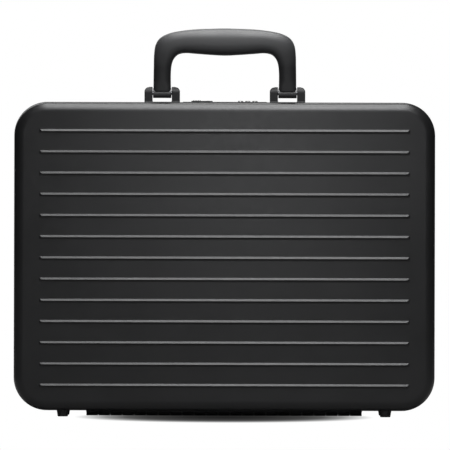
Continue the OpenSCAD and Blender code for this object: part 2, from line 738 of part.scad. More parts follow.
if (shown("stay_lower_arm_left")) stay_lower_arm(-1);
if (shown("stay_lower_arm_right")) stay_lower_arm(1);
if (shown("stay_upper_arm_left")) stay_upper_arm(-1);
if (shown("stay_upper_arm_right")) stay_upper_arm(1);
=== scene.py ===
# Attache case standing closed on its hinge edge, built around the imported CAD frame.
# X runs along the case, Z is up towards the handle. The lid is the -Y half, which faces the
# camera, and the base is the +Y half. Lengths are in mm and scaled to metres as meshes are made.
import bpy
import bmesh
import math
import numpy as np
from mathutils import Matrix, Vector

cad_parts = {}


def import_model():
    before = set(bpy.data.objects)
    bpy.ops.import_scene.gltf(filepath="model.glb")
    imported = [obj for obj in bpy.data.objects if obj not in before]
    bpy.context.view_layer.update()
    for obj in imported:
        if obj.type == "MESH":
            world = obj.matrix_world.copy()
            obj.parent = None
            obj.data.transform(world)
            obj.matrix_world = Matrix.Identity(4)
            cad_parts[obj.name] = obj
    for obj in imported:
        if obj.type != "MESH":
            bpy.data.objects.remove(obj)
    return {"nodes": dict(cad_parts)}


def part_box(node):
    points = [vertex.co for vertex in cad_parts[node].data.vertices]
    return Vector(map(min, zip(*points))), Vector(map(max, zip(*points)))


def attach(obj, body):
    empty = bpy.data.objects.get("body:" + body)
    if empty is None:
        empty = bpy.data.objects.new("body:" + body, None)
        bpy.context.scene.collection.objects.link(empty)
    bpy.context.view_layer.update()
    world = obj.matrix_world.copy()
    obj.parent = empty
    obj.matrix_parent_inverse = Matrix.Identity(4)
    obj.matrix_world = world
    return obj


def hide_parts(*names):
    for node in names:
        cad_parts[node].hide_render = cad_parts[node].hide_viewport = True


CAD_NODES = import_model()["nodes"]
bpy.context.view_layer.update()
MM = 0.001


def cad_box(node):
    """Low and high corners of a CAD node, in mm."""
    low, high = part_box(node)
    return [v * 1000 for v in low], [v * 1000 for v in high]


def cad_middle(node, axis):
    low, high = cad_box(node)
    return (low[axis] + high[axis]) / 2


# ---------------------------------------------------------------- driving sizes
X_AXIS, Z_AXIS = 0, 2
FRAME_LOW, FRAME_HIGH = cad_box("base_frame")
WIDTH = FRAME_HIGH[0] - FRAME_LOW[0]
HEIGHT = FRAME_HIGH[2] - FRAME_LOW[2]
BOTTOM_Z, TOP_Z = FRAME_LOW[2], FRAME_HIGH[2]
MID_Z = (BOTTOM_Z + TOP_Z) / 2
CORNER_R = 34.0                 # corner of the case outline
HALF_DEPTH = 52.0               # middle plane to the flat of either panel
PART_Y = -12.0                  # where lid and base meet
TOP_Y = 6.0                     # line of the handle and lock along the top
PLATE_Z = cad_box("lock_plate")[1][2]       # top of the lock and bracket plates
PIVOT_Z = cad_middle("handle_pins", Z_AXIS)
LEG_X = cad_middle("handle_bracket_right", X_AXIS)

SHELL_INSET, SHELL_WALL, SHELL_EDGE_R = 1.05, 1.5, 9.0
BEAD_COUNT, BEAD_PITCH, BEAD_LENGTH, BEAD_HALF = 13, 21.6, 376.6, 1.8
BEAD_DROP = 2.2                 # the set of beads sits this far below the middle
BEAD_HEIGHT = cad_box("base_shell")[1][1] - HALF_DEPTH
BEAD_Z = [MID_Z - BEAD_DROP + (k - (BEAD_COUNT - 1) / 2) * BEAD_PITCH
          for k in range(BEAD_COUNT)]

RIVET_DY = 9.5                  # frame and hinge rivet lines, either side of the parting
FRAME_EDGE_DY = 13.5            # reach of each frame band from the parting
FOOT_X, FOOT_Y = 164.5, 36
BUTTON_SLOT_X = (-26.6, -14.4)
DIAL_X = [cad_middle(f"dial_{k}", X_AXIS) for k in (1, 2, 3)]
DIAL_Z = cad_middle("dial_1", Z_AXIS)
DIAL_R = 7.0
POCKET_BACK_Y = -46.25          # face of the organiser that pockets and pen loops lie on

SIDES = (-1, 1)
HALVES = (("base", 1), ("lid", -1))         # case half and its side in Y


# ---------------------------------------------------------------- node trees
NOISE_SPAN = (0.3, 0.7)         # where most of a noise texture's values lie


def tone(colour, factor):
    return tuple(min(1, c * factor) for c in colour)


def around(centre, reach):
    return centre - reach, centre + reach


class Graph:
    """Node tree of a material or world."""

    def __init__(self, owner):
        owner.use_nodes = True
        self.tree = owner.node_tree
        self.tree.nodes.clear()

    def feed(self, node, inputs):
        """Give each input a value, or a link if the value is another node's socket."""
        for key, value in inputs.items():
            if isinstance(value, bpy.types.NodeSocket):
                self.tree.links.new(value, node.inputs[key])
            else:
                node.inputs[key].default_value = value

    def node(self, kind, inputs=None, **properties):
        node = self.tree.nodes.new("ShaderNode" + kind)
        for key, value in properties.items():
            setattr(node, key, value)
        self.feed(node, inputs or {})
        return node

    def object_coords(self):
        return self.node("TexCoord").outputs["Object"]

    def noise(self, coords, scale, detail, roughness):
        inputs = {"Scale": scale, "Detail": detail, "Roughness": roughness, "Vector": coords}
        return self.node("TexNoise", inputs).outputs["Fac"]

    def ramp(self, factor, stops):
        """Grey ramp; stops are (position, value)."""
        node = self.node("ValToRGB", {"Fac": factor})
        elements = node.color_ramp.elements
        while len(elements) < len(stops):
            elements.new(0.5)
        for element, (position, value) in zip(elements, stops):
            element.position = position
            element.color = (value, value, value, 1)
        return node.outputs["Color"]

    def remap(self, value, to=(0, 1), span=NOISE_SPAN):
        inputs = {"From Min": span[0], "From Max": span[1],
                  "To Min": to[0], "To Max": to[1], "Value": value}
        return self.node("MapRange", inputs).outputs["Result"]

    def math(self, operation, a, b=None):
        inputs = {0: a} if b is None else {0: a, 1: b}
        return self.node("Math", inputs, operation=operation).outputs[0]

    def dot(self, a, b):
        return self.node("VectorMath", {0: a, 1: b}, operation="DOT_PRODUCT").outputs["Value"]

    def length(self, vector):
        return self.node("VectorMath", {0: vector}, operation="LENGTH").outputs["Value"]

    def bump(self, height, strength, distance, normal=None):
        inputs = {"Strength": strength, "Distance": distance, "Height": height}
        if normal is not None:
            inputs["Normal"] = normal
        return self.node("Bump", inputs).outputs["Normal"]

    def mix(self, factor, a, b):
        """Mix of two colours, each an RGB tuple or a socket."""
        a, b = ((*c, 1) if isinstance(c, tuple) else c for c in (a, b))
        return self.node("Mix", {"Factor": factor, 6: a, 7: b}, data_type="RGBA").outputs[2]

    def mix_shader(self, factor, a, b):
        return self.node("MixShader", {0: factor, 1: a, 2: b}).outputs[0]

    def bevel_normal(self, radius):
        return self.node("Bevel", {"Radius": radius}, samples=4).outputs[0]

    def edge_mask(self, radius):
        """1 along edges, 0 on flat surface, from a bevelled normal."""
        bevelled = self.bevel_normal(radius)
        true_normal = self.node("NewGeometry").outputs["Normal"]
        return self.remap(self.dot(bevelled, true_normal), span=(1.0, 0.86))


# Product slot of each material whose slot has another name
SLOT_OF = {"eye_black": "steel", "hinge_black": "hardware_black", "zinc_steel": "steel",
           "brass": "brass", "dial_paint": "dial_black", "thread": "webbing",
           "piping": "lining_fabric"}


class Surface(Graph):
    """Material with one Principled shader, and the product slot it belongs to."""

    def __init__(self, name):
        self.material = bpy.data.materials.new(name)
        self.slot = SLOT_OF.get(name, name)
        super().__init__(self.material)
        self.shader = self.node("BsdfPrincipled")
        self.node("OutputMaterial", {0: self.shader.outputs[0]})

    def set(self, **inputs):
        """Feed the shader; underscores stand for the spaces in socket names."""
        self.feed(self.shader, {key.replace("_", " "): v for key, v in inputs.items()})
        return self


# ---------------------------------------------------------------- materials
def anodised(name, colour, roughness, metallic, wear):
    s = Surface(name)
    coords = s.object_coords()
    fine = s.noise(coords, scale=2600, detail=4, roughness=0.6)
    medium = s.noise(coords, scale=240, detail=3, roughness=0.5)
    broad = s.noise(coords, scale=14, detail=4, roughness=0.6)
    base = s.mix(s.remap(broad), tone(colour, 0.86), tone(colour, 1.12))
    base = s.mix(s.remap(fine, to=(0, 0.35), span=(0.35, 0.75)), base, tone(colour, 1.9))
    worn = s.math("MULTIPLY", s.edge_mask(radius=0.0005),
                  s.remap(medium, to=(0.0, wear), span=(0.35, 0.75)))
    bare_metal = (0.20, 0.205, 0.21)
    return s.set(
        Base_Color=s.mix(worn, base, bare_metal),
        Roughness=s.math("ADD", s.remap(medium, to=around(roughness, 0.03)),
                         s.remap(broad, to=around(0, 0.025))),
        Metallic=metallic,
        Normal=s.bump(medium, strength=0.05, distance=0.0001,
                      normal=s.bump(fine, strength=0.22, distance=0.00005)))


def plastic(name, colour, roughness, grain=0.3, grain_scale=2200, specular=0.5):
    s = Surface(name)
    coords = s.object_coords()
    fine = s.noise(coords, scale=grain_scale, detail=4, roughness=0.6)
    broad = s.noise(coords, scale=30, detail=4, roughness=0.6)
    return s.set(
        Base_Color=s.mix(s.remap(broad), tone(colour, 0.85), tone(colour, 1.2)),
        Roughness=s.math("ADD", s.remap(broad, to=around(roughness, 0.04)),
                         s.remap(fine, to=around(0, 0.03))),
        Specular_IOR_Level=specular,
        Normal=s.bump(fine, strength=grain, distance=0.00006))


def grip_plastic():
    """Painted light and shade: the base colour darkens from the bar down the legs, and the specular
    level falls with it.
    """
    # colour of the bar and the darker colour of the legs; the legs' darkness is painted shade
    painted_lit_colour, painted_shade_colour = (0.031, 0.0313, 0.0325), (0.010, 0.0101, 0.0106)
    s = plastic("grip_black", painted_lit_colour, 0.44, grain=0.12, grain_scale=2600)
    s.set(Sheen_Weight=0.04, Sheen_Roughness=0.4)
    height = s.node("SeparateXYZ", {0: s.object_coords()}).outputs["Z"]
    # painted light ramp: 0 down the legs, 1 along the top of the bar
    painted_light_ramp = s.remap(height, span=((TOP_Z + 36) * MM, (TOP_Z + 68) * MM))
    mottled = s.shader.inputs["Base Color"].links[0].from_socket
    plain = s.mix(painted_light_ramp, painted_shade_colour, painted_lit_colour)
    return s.set(Base_Color=s.mix(painted_light_ramp, plain, s.mix(0.5, mottled, plain)),
                 Specular_IOR_Level=s.remap(painted_light_ramp, to=(0.16, 0.4), span=(0.0, 1.0)))


def brushed_metal(name, colour, roughness):
    s = Surface(name)
    stretch = (1, 1, 24)
    stretched = s.node("Mapping", {"Scale": stretch, "Vector": s.object_coords()}).outputs[0]
    brushing = s.noise(stretched, scale=700, detail=3, roughness=0.6)
    broad = s.noise(s.object_coords(), scale=60, detail=3, roughness=0.5)
    return s.set(
        Base_Color=s.mix(s.remap(broad), tone(colour, 0.85), colour),
        Roughness=s.remap(brushing, to=(roughness - 0.07, roughness + 0.09),
                          span=(0.25, 0.75)),
        Metallic=1.0,
        Normal=s.bump(brushing, strength=0.1, distance=0.00005,
                      normal=s.bevel_normal(0.00035)))


def weave(name, colour, pitch, relief=0.35, fleck=1.5):
    """Plain weave along object X and Z; pitch in metres, fleck is the high threads' tone."""
    s = Surface(name)
    axes = s.node("SeparateXYZ", {0: s.object_coords()}).outputs
    u, v = (s.math("MULTIPLY", axes[k], 2 * math.pi / pitch) for k in (X_AXIS, Z_AXIS))
    ribs = s.math("ADD", s.math("SINE", u), s.math("SINE", v))
    half_u, half_v = (s.math("SINE", s.math("MULTIPLY", w, 0.5)) for w in (u, v))
    checks = s.math("MULTIPLY", half_u, half_v)
    height = s.math("ADD", s.math("MULTIPLY", ribs, 0.25), checks)
    broad = s.noise(s.object_coords(), scale=22, detail=4, roughness=0.6)
    fibre = s.noise(s.object_coords(), scale=3500, detail=2, roughness=0.6)
    base = s.mix(s.remap(height, span=(-1, 1)), tone(colour, 0.55), tone(colour, fleck))
    return s.set(
        Base_Color=s.mix(s.remap(broad, to=(0, 0.5)), base, tone(colour, 0.8)),
        Roughness=s.remap(fibre, to=around(0.85, 0.08), span=(0.2, 0.8)),
        Sheen_Weight=0.5,
        Sheen_Roughness=0.45,
        Specular_IOR_Level=0.25,
        Normal=s.bump(fibre, strength=0.25, distance=0.0001,
                      normal=s.bump(height, strength=relief, distance=pitch * 0.35)))


def pile(name, colour):
    """Short-pile lining cloth."""
    s = Surface(name)
    coords = s.object_coords()
    tufts = s.node("TexVoronoi", {"Scale": 1900, "Vector": coords}).outputs["Distance"]
    fibre = s.noise(coords, scale=2400, detail=3, roughness=0.7)
    nap = s.noise(coords, scale=9, detail=4, roughness=0.65)
    base = s.mix(s.remap(nap), tone(colour, 0.72), tone(colour, 1.25))
    return s.set(
        Base_Color=s.mix(s.remap(fibre, to=(0, 0.6), span=(0.3, 0.75)), base,
                         tone(colour, 1.7)),
        Roughness=0.92,
        Sheen_Weight=0.8,
        Sheen_Roughness=0.35,
        Specular_IOR_Level=0.15,
        Normal=s.bump(s.math("ADD", tufts, fibre), strength=0.5, distance=0.0002))


BODY = anodised("body_black", (0.0118, 0.0119, 0.0123), 0.34, metallic=0.45, wear=0.03)
FRAME = anodised("frame_black", (0.008, 0.0082, 0.009), 0.48, metallic=0.4, wear=0.12)
HARDWARE = plastic("hardware_black", (0.0105, 0.0105, 0.011), 0.46, grain=0.2,
                   grain_scale=3200, specular=0.15)
GRIP = grip_plastic()
EYE = plastic("eye_black", (0.034, 0.034, 0.0355), 0.36, grain=0.15, grain_scale=3200)
# hinge colour lighter than the other black hardware: painted light standing in for fill under the
# case
HINGE_PAINTED_FILL = plastic("hinge_black", (0.05, 0.05, 0.053), 0.5, grain_scale=2600, specular=0.35)
PLASTIC = plastic("plastic_black", (0.014, 0.014, 0.015), 0.5, grain=0.45, grain_scale=1500)
DIAL = plastic("dial_black", (0.012, 0.012, 0.013), 0.3, grain=0.08, grain_scale=3000)
RUBBER = plastic("rubber_black", (0.016, 0.016, 0.016), 0.72, grain=0.4, grain_scale=1600)
SEAL = plastic("seal_rubber", (0.02, 0.02, 0.02), 0.9, grain=0.8, grain_scale=1800)
STEEL = brushed_metal("zinc_steel", (0.30, 0.305, 0.32), 0.40)
BRASS = brushed_metal("brass", (0.72, 0.52, 0.25), 0.28)
LINING = pile("lining_fabric", (0.060, 0.063, 0.072))
POCKET = weave("pocket_fabric", (0.030, 0.031, 0.035), pitch=0.0009)
WEBBING = weave("webbing", (0.020, 0.020, 0.022), pitch=0.0016, relief=0.6, fleck=1.8)
PIPING = plastic("piping", (0.014, 0.014, 0.015), 0.55, grain=0.5, grain_scale=1200)
THREAD = weave("thread", (0.10, 0.10, 0.11), pitch=0.0004, relief=0.5)
PAINT = plastic("dial_paint", (0.72, 0.72, 0.70), 0.5, grain=0.15, grain_scale=2500)


# ---------------------------------------------------------------- objects
def link(name, data):
    obj = bpy.data.objects.new(name, data)
    bpy.context.scene.collection.objects.link(obj)
    return obj


def new_mesh(name, verts, faces):
    mesh = bpy.data.meshes.new(name)
    mesh.from_pydata([tuple(c * MM for c in v) for v in verts], [], [tuple(f) for f in faces])
    return mesh


def write_back(bm, mesh, weld=True):
    if weld:
        bmesh.ops.remove_doubles(bm, verts=bm.verts, dist=1e-7)
    bmesh.ops.recalc_face_normals(bm, faces=bm.faces)
    bm.to_mesh(mesh)
    bm.free()


def tidy(mesh, weld=True):
    bm = bmesh.new()
    bm.from_mesh(mesh)
    write_back(bm, mesh, weld)


def shade(obj, angle, weighted=True):
    obj.data.shade_smooth()
    obj.data.set_sharp_from_angle(angle=math.radians(angle))
    if weighted:
        obj.modifiers.new("wn", "WEIGHTED_NORMAL").keep_sharp = True


def set_finish(mesh, finish):
    mesh.materials.clear()
    mesh.materials.append(finish.material)


def piece_from_mesh(name, mesh, finish, body, replaces, angle, weighted=True):
    obj = link(name, mesh)
    set_finish(mesh, finish)
    shade(obj, angle, weighted)
    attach(obj, body)
    if replaces:
        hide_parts(replaces)
    return obj


def piece(name, shape, finish, body, replaces=None, angle=40, weighted=True):
    """Product piece from (verts, faces); angle is the sharp edge limit in degrees."""
    mesh = new_mesh(name, *shape)
    mesh.validate()
    tidy(mesh)
    return piece_from_mesh(name, mesh, finish, body, replaces, angle, weighted)


def apply_modifiers(obj):
    depsgraph = bpy.context.evaluated_depsgraph_get()
    depsgraph.update()
    mesh = bpy.data.meshes.new_from_object(obj.evaluated_get(depsgraph))
    obj.modifiers.clear()
    obj.data = mesh


def cut(obj, *shapes):
    """Subtract each (verts, faces) shape in turn."""
    for shape in shapes:
        cutter = link("cutter", new_mesh("cutter", *shape))
        tidy(cutter.data, weld=False)
        modifier = obj.modifiers.new("cut", "BOOLEAN")
        modifier.operation = "DIFFERENCE"
        modifier.solver = "EXACT"
        modifier.object = cutter
        apply_modifiers(obj)
        bpy.data.objects.remove(cutter)


# ---------------------------------------------------------------- shapes, as (verts, faces)
def turns(count):
    return [2 * math.pi * k / count for k in range(count)]


def merge(shapes):
    verts, faces = [], []
    for more_verts, more_faces in shapes:
        start = len(verts)
        verts += list(more_verts)
        faces += [tuple(i + start for i in face) for face in more_faces]
    return verts, faces


def skin(loops, capped=True, closed=False):
    """Skin equal-length closed loops; closed joins the last loop to the first, uncapped."""
    size, count = len(loops[0]), len(loops)
    verts = [point for loop in loops for point in loop]
    faces = []
    for i in range(count if closed else count - 1):
        a, b = i * size, ((i + 1) % count) * size
        faces += [(a + k, a + (k + 1) % size, b + (k + 1) % size, b + k) for k in range(size)]
    if capped and not closed:
        faces.append(tuple(range(size)))
        faces.append(tuple(range(count * size - 1, (count - 1) * size - 1, -1)))
    return verts, faces


def box(xs, ys, zs):
    verts = [(x, y, z) for x in xs for y in ys for z in zs]
    faces = [(0, 1, 3, 2), (4, 6, 7, 5), (0, 4, 5, 1), (2, 3, 7, 6), (0, 2, 6, 4), (1, 5, 7, 3)]
    return verts, faces


def ring(centre, axis, radius, along, segments):
    """Circle about an axis through centre, shifted along it."""
    points = []
    for turn in turns(segments):
        point = [radius * math.cos(turn), radius * math.sin(turn)]
        point.insert("xyz".index(axis), along)
        points.append(tuple(p + c for p, c in zip(point, centre)))
    return points


def cylinder(axis, centre, ends, radius, segments):
    n = segments
    verts = [p for end in ends for p in ring(centre, axis, radius, end, n)]
    faces = [tuple(range(n)), tuple(range(2 * n - 1, n - 1, -1))]
    faces += [(k, (k + 1) % n, n + (k + 1) % n, n + k) for k in range(n)]
    return verts, faces


def revolve(profile, centre, axis, segments, side=1, closed=False):
    """Turn a (radius, height) profile about an axis; side=-1 flips the heights."""
    loops = [ring(centre, axis, max(r, 1e-4), h * side, segments) for r, h in profile]
    return skin(loops, closed=closed)


def rounded_polygon(corners, steps):
    """Closed polygon from (u, v, corner radius) rows, with each corner rounded."""
    out = []
    for i, (*corner, radius) in enumerate(corners):
        corner = np.array(corner, float)
        if radius <= 0:
            out.append(tuple(corner))
            continue
        to_last = np.array(corners[i - 1][:2], float) - corner
        to_next = np.array(corners[(i + 1) % len(corners)][:2], float) - corner
        reach = min(np.linalg.norm(to_last), np.linalg.norm(to_next))
        u = to_last / np.linalg.norm(to_last)
        v = to_next / np.linalg.norm(to_next)
        half = math.acos(max(-1, min(1, float(u @ v)))) / 2
        setback = min(radius / math.tan(half), 0.45 * reach)
        radius = setback * math.tan(half)
        centre = corner + (u + v) / np.linalg.norm(u + v) * radius / math.sin(half)
        start, end = (corner + w * setback - centre for w in (u, v))
        first = math.atan2(start[1], start[0])
        turn = math.atan2(end[1], end[0]) - first
        turn = (turn + math.pi) % (2 * math.pi) - math.pi
        for k in range(steps + 1):
            t = first + turn * k / steps
            out.append((centre[0] + radius * math.cos(t), centre[1] + radius * math.sin(t)))
    return out


def case_outline(inset, arc_steps, side_steps):
    """Rounded case outline moved inward, as (x, z), with a fixed point count."""
    cx, cz, radius = WIDTH / 2 - CORNER_R, HEIGHT / 2 - CORNER_R, CORNER_R - inset
    corners = [(cx, cz, 0), (-cx, cz, 90), (-cx, -cz, 180), (cx, -cz, 270)]

    def at(x, z, degrees):
        a = math.radians(degrees)
        return x + radius * math.cos(a), MID_Z + z + radius * math.sin(a)

    points = []
    for k, (x, z, start) in enumerate(corners):
        points += [at(x, z, start + 90 * j / arc_steps) for j in range(arc_steps + 1)]
        next_x, next_z, _ = corners[(k + 1) % 4]
        p, q = at(x, z, start + 90), at(next_x, next_z, start + 90)
        points += [(p[0] + (q[0] - p[0]) * j / side_steps, p[1] + (q[1] - p[1]) * j / side_steps)
                   for j in range(1, side_steps)]
    return points


def outline_loops(profile, arc_steps, side_steps, side=1):
    """Loops round the case, one for each (inset, y) of the profile."""
    return [[(x, side * y, z) for x, z in case_outline(inset, arc_steps, side_steps)]
            for inset, y in profile]


def quarter_arc(inset, y, radius, steps):
    """(inset, y) points turning from a side wall to a panel about the given centre."""
    angles = [math.pi / 2 * k / steps for k in range(steps + 1)]
    return [(inset - radius * math.cos(a), y + radius * math.sin(a)) for a in angles]


def rounded_rect(cu, cv, half_u, half_v, radius, steps):
    points = []
    for su, sv, start in ((1, 1, 0), (-1, 1, 90), (-1, -1, 180), (1, -1, 270)):
        for j in range(steps + 1):
            a = math.radians(start + 90 * j / steps)
            points.append((cu + su * (half_u - radius) + radius * math.cos(a),
                           cv + sv * (half_v - radius) + radius * math.sin(a)))
    return points


def rect_stack(centre, half, radius, steps, levels, radius_loss=0, upright=False, closed=False):
    """Rounded rectangles skinned through (inset, height) levels.
    They lie in XY, or in XZ if upright. radius_loss is how fast the inset eats the radius."""
    loops = []
    for inset, height in levels:
        points = rounded_rect(*centre, half[0] - inset, half[1] - inset,
                              radius - inset * radius_loss, steps)
        loops.append([(u, height, v) if upright else (u, v, height) for u, v in points])
    return skin(loops, closed=closed)


def slab(centre, half, radius, steps, low, high, rim, rim_steps, radius_loss=0.5,
         round_low=False, upright=False):
    """Rounded rectangular slab with a rounded rim on its high face, and on its low if asked."""
    angles = [math.pi / 2 * k / rim_steps for k in range(rim_steps + 1)]
    levels = [(0, low)]
    if round_low:
        levels = [(rim * (1 - math.sin(a)), low + rim * (1 - math.cos(a))) for a in angles]
    levels += [(rim * (1 - math.cos(a)), high - rim * (1 - math.sin(a))) for a in angles]
    return rect_stack(centre, half, radius, steps, levels, radius_loss, upright)


def grid_faces(columns, rows, start=0, flipped=False):
    faces = []
    for j in range(rows - 1):
        for i in range(columns - 1):
            a = start + j * columns + i
            b = a + columns
            faces.append((a, b, b + 1, a + 1) if flipped else (a, a + 1, b + 1, b))
    return faces


def grid_border(columns, rows, start=0):
    border = list(range(columns)) + [j * columns + columns - 1 for j in range(1, rows)]
    border += [(rows - 1) * columns + i for i in range(columns - 2, -1, -1)]
    border += [j * columns for j in range(rows - 2, 0, -1)]
    return [start + i for i in border]


def ring_pairs(indices):
    return zip(indices, indices[1:] + indices[:1])


def sheet_faces(columns, rows):
    """Closed sheet of two grids, the second listed straight after the first."""
    n = columns * rows
    faces = grid_faces(columns, rows) + grid_faces(columns, rows, n, flipped=True)
    return faces + [(a, b, n + b, n + a)
                    for a, b in ring_pairs(grid_border(columns, rows))]


# ---------------------------------------------------------------- shells
BEAD_END_X = BEAD_LENGTH / 2 - BEAD_HALF    # where the beads start to run out
# Grid lines across a bead, as distances from its crest, and past the start of its end
BEAD_STEPS = [0, 0.2, 0.42, 0.68, 1.0, 1.35, 1.7, 2.02, 2.3, 2.55, 2.85, 3.2]
BEAD_END_STEPS = [0, 0.35, 0.7, 1.05, 1.4, 1.75, 2.1, 2.4, 2.75, 3.2]
BEAD_MARGIN = 3.6               # flat strip outside the first and last beads


def bead_height(x, z):
    """Ridge height above the panel, with a softened crest, foot and ends."""
    crest, foot, corner = 0.32, 0.14, 0.35

    def fall(distance):
        return math.sqrt(distance * distance + crest * crest) - crest

    def rise(level):
        return level + math.sqrt(level * level + foot * foot)

    drop = fall(min(abs(z - bead) for bead in BEAD_Z))
    past_end = abs(x) - BEAD_END_X
    if past_end > 0:
        end_drop = fall(past_end)
        blend = max(corner - abs(drop - end_drop), 0) / corner
        drop = max(drop, end_drop) + blend * blend * corner * 0.25
    return BEAD_HEIGHT * rise(1 - drop / fall(BEAD_HALF)) / rise(1)


def panel_lines():
    """X and Z positions of the grid lines of a beaded panel."""
    half = [60.0] + [BEAD_END_X - q for q in (60, 6, 1.2)] + [
        BEAD_END_X + q for q in BEAD_END_STEPS]
    xs = sorted({round(x, 4) for x in [0.0] + half + [-x for x in half]})
    zs = [BEAD_Z[0] - BEAD_MARGIN]
    for z in BEAD_Z:
        zs += [z - q for q in reversed(BEAD_STEPS)] + [z + q for q in BEAD_STEPS[1:]]
        zs.append(z + (BEAD_MARGIN if z == BEAD_Z[-1] else BEAD_PITCH / 2))
    return xs, zs


def shell(part, side, mouth_y):
    """Hollow half case; mouth_y is its open edge, measured towards its own side."""
    inset, edge_y = SHELL_INSET, HALF_DEPTH - SHELL_EDGE_R
    outer = [(inset, mouth_y + (edge_y - mouth_y) * k / 3) for k in range(3)]
    outer += quarter_arc(inset + SHELL_EDGE_R, edge_y, SHELL_EDGE_R, 12)
    outer.append((inset + SHELL_EDGE_R + 0.8, HALF_DEPTH))
    inner_r = SHELL_EDGE_R - SHELL_WALL
    inner = [(inset + SHELL_WALL, mouth_y)]
    inner += quarter_arc(inset + SHELL_EDGE_R, HALF_DEPTH - SHELL_WALL - inner_r, inner_r, 6)
    outer_skin, inner_skin = (skin(outline_loops(profile, 16, 12, side), capped=False)
                              for profile in (outer, inner))
    verts, faces = merge([outer_skin, inner_skin])
    loop_size = len(outer_skin[0]) // len(outer)
    inner_start = len(outer_skin[0])
    rim = list(range(inner_start - loop_size, inner_start))
    faces.append(tuple(range(len(verts) - loop_size, len(verts))))
    faces += [(a, b, inner_start + b, inner_start + a)
              for a, b in ring_pairs(list(range(loop_size)))]

    grid_start = len(verts)
    xs, zs = panel_lines()
    for z in zs:
        for x in xs:
            on_border = x in (xs[0], xs[-1]) or z in (zs[0], zs[-1])
            height = 0 if on_border else bead_height(x, z)
            verts.append((x, side * (HALF_DEPTH + height), z))
    faces += grid_faces(len(xs), len(zs), grid_start)

    # the flat margin between the shell's rim and the beaded grid is filled with triangles
    name = f"{part}_shell_panel"
    mesh = new_mesh(name, verts, faces)
    bm = bmesh.new()
    bm.from_mesh(mesh)
    bm.verts.ensure_lookup_table()
    border = grid_border(len(xs), len(zs), grid_start)
    edges = [bm.edges.get((bm.verts[a], bm.verts[b]))
             for indices in (rim, border) for a, b in ring_pairs(indices)]
    bmesh.ops.triangle_fill(bm, edges=edges, use_beauty=True, use_dissolve=False,
                            normal=(0, side, 0))
    write_back(bm, mesh)
    return piece_from_mesh(name, mesh, BODY, part, f"{part}_shell", 40)


def shells():
    shell("lid", -1, 13.85)
    base = shell("base", 1, PART_Y + 1.85)
    dials_x = (cad_box("dial_1")[0][0] - 1.2, cad_box("dial_3")[1][0] + 2.4)
    depth = (TOP_Z - 6, TOP_Z + 1)
    cut(base, box(dials_x, around(TOP_Y, 7), depth),
        box(BUTTON_SLOT_X, around(TOP_Y, 3), depth))
    shade(base, 40)


shells()

# ---------------------------------------------------------------- frames, rivets and seal
# Cross-sections as (inset, y from the parting, corner radius)
BASE_FRAME = [
    (0, 0.15, 0.35), (5.9, 0.15, 0.3), (5.9, 5.1, 0), (8.5, 5.1, 0), (8.5, 0.15, 0.3),
    (9.5, 0.15, 0.3), (9.5, 7, 0.3), (4.4, 7, 0.2), (4.4, FRAME_EDGE_DY, 0.3),
    (2.6, FRAME_EDGE_DY, 0.2), (2.6, 1.8, 0), (1.0, 1.8, 0), (1.0, FRAME_EDGE_DY, 0.2),
    (0, FRAME_EDGE_DY, 0.3)]
LID_FRAME = [
    (0, -0.15, 0.35), (0, -FRAME_EDGE_DY, 0.15), (1.0, -FRAME_EDGE_DY, 0.15), (1.0, -1.8, 0),
    (2.6, -1.8, 0), (2.6, -FRAME_EDGE_DY, 0.2), (4.4, -FRAME_EDGE_DY, 0.3), (4.4, -1.8, 0.2),
    (9.5, -1.8, 0.3), (9.5, -0.15, 0.3), (7.7, -0.15, 0.1), (7.7, 3.2, 0.35),
    (6.3, 3.2, 0.35), (6.3, -0.15, 0.1)]
SEAL_SECTION = [(5.95, 3.3, 0.6), (8.45, 3.3, 0.6), (8.45, 5.05, 0.1), (5.95, 5.05, 0.1)]
# (radius, height over the frame face)
FRAME_RIVET = [(0, -0.6), (2.45, -0.6), (2.5, -0.25), (2.35, -0.1), (1.9, -0.04),
               (1.0, -0.015), (0, -0.01)]


def frame_sweep(section, corner_steps, arc_steps):
    section = [(inset, PART_Y + dy, radius) for inset, dy, radius in section]
    profile = rounded_polygon(section, corner_steps)
    return skin(outline_loops(profile, arc_steps, 6), closed=True)


def frame_rivets(side):
    """(axis, outward side, centre) of each rivet of one frame."""
    y = PART_Y + side * RIVET_DY
    out = [("x", s, (s * WIDTH / 2, y, MID_Z + dz)) for s in SIDES for dz in (-95, 0, 95)]
    out += [("z", 1, (x, y, TOP_Z)) for x in (-150, 150)]
    return out + [("z", -1, (x, y, BOTTOM_Z)) for x in (-172, 172)]


def frame_ring(part, side, section):
    ring_piece = piece(f"{part}_frame_ring", frame_sweep(section, 3, 20), FRAME, part,
                       f"{part}_frame", angle=35)
    cutters = [merge([cylinder(axis, centre, (-out * 0.65, out), 2.62, 40)
                      for axis, out, centre in frame_rivets(side)])]
    if part == "base":
        # notch in the top side, below the lock
        cutters.append(box((-86, 86), (PART_Y + 7.6, PART_Y + 15), (MID_Z, TOP_Z + 1)))
    cut(ring_piece, *cutters)
    shade(ring_piece, 35)


frame_ring("base", 1, BASE_FRAME)
frame_ring("lid", -1, LID_FRAME)
for part, side in HALVES:
    heads = [revolve(FRAME_RIVET, centre, axis, 36, out)
             for axis, out, centre in frame_rivets(side)]
    piece(f"{part}_frame_rivets", merge(heads), FRAME, part, f"{part}_rivets", angle=50)
piece("frame_seal_strip", frame_sweep(SEAL_SECTION, 4, 16), SEAL, "base", "frame_seal")

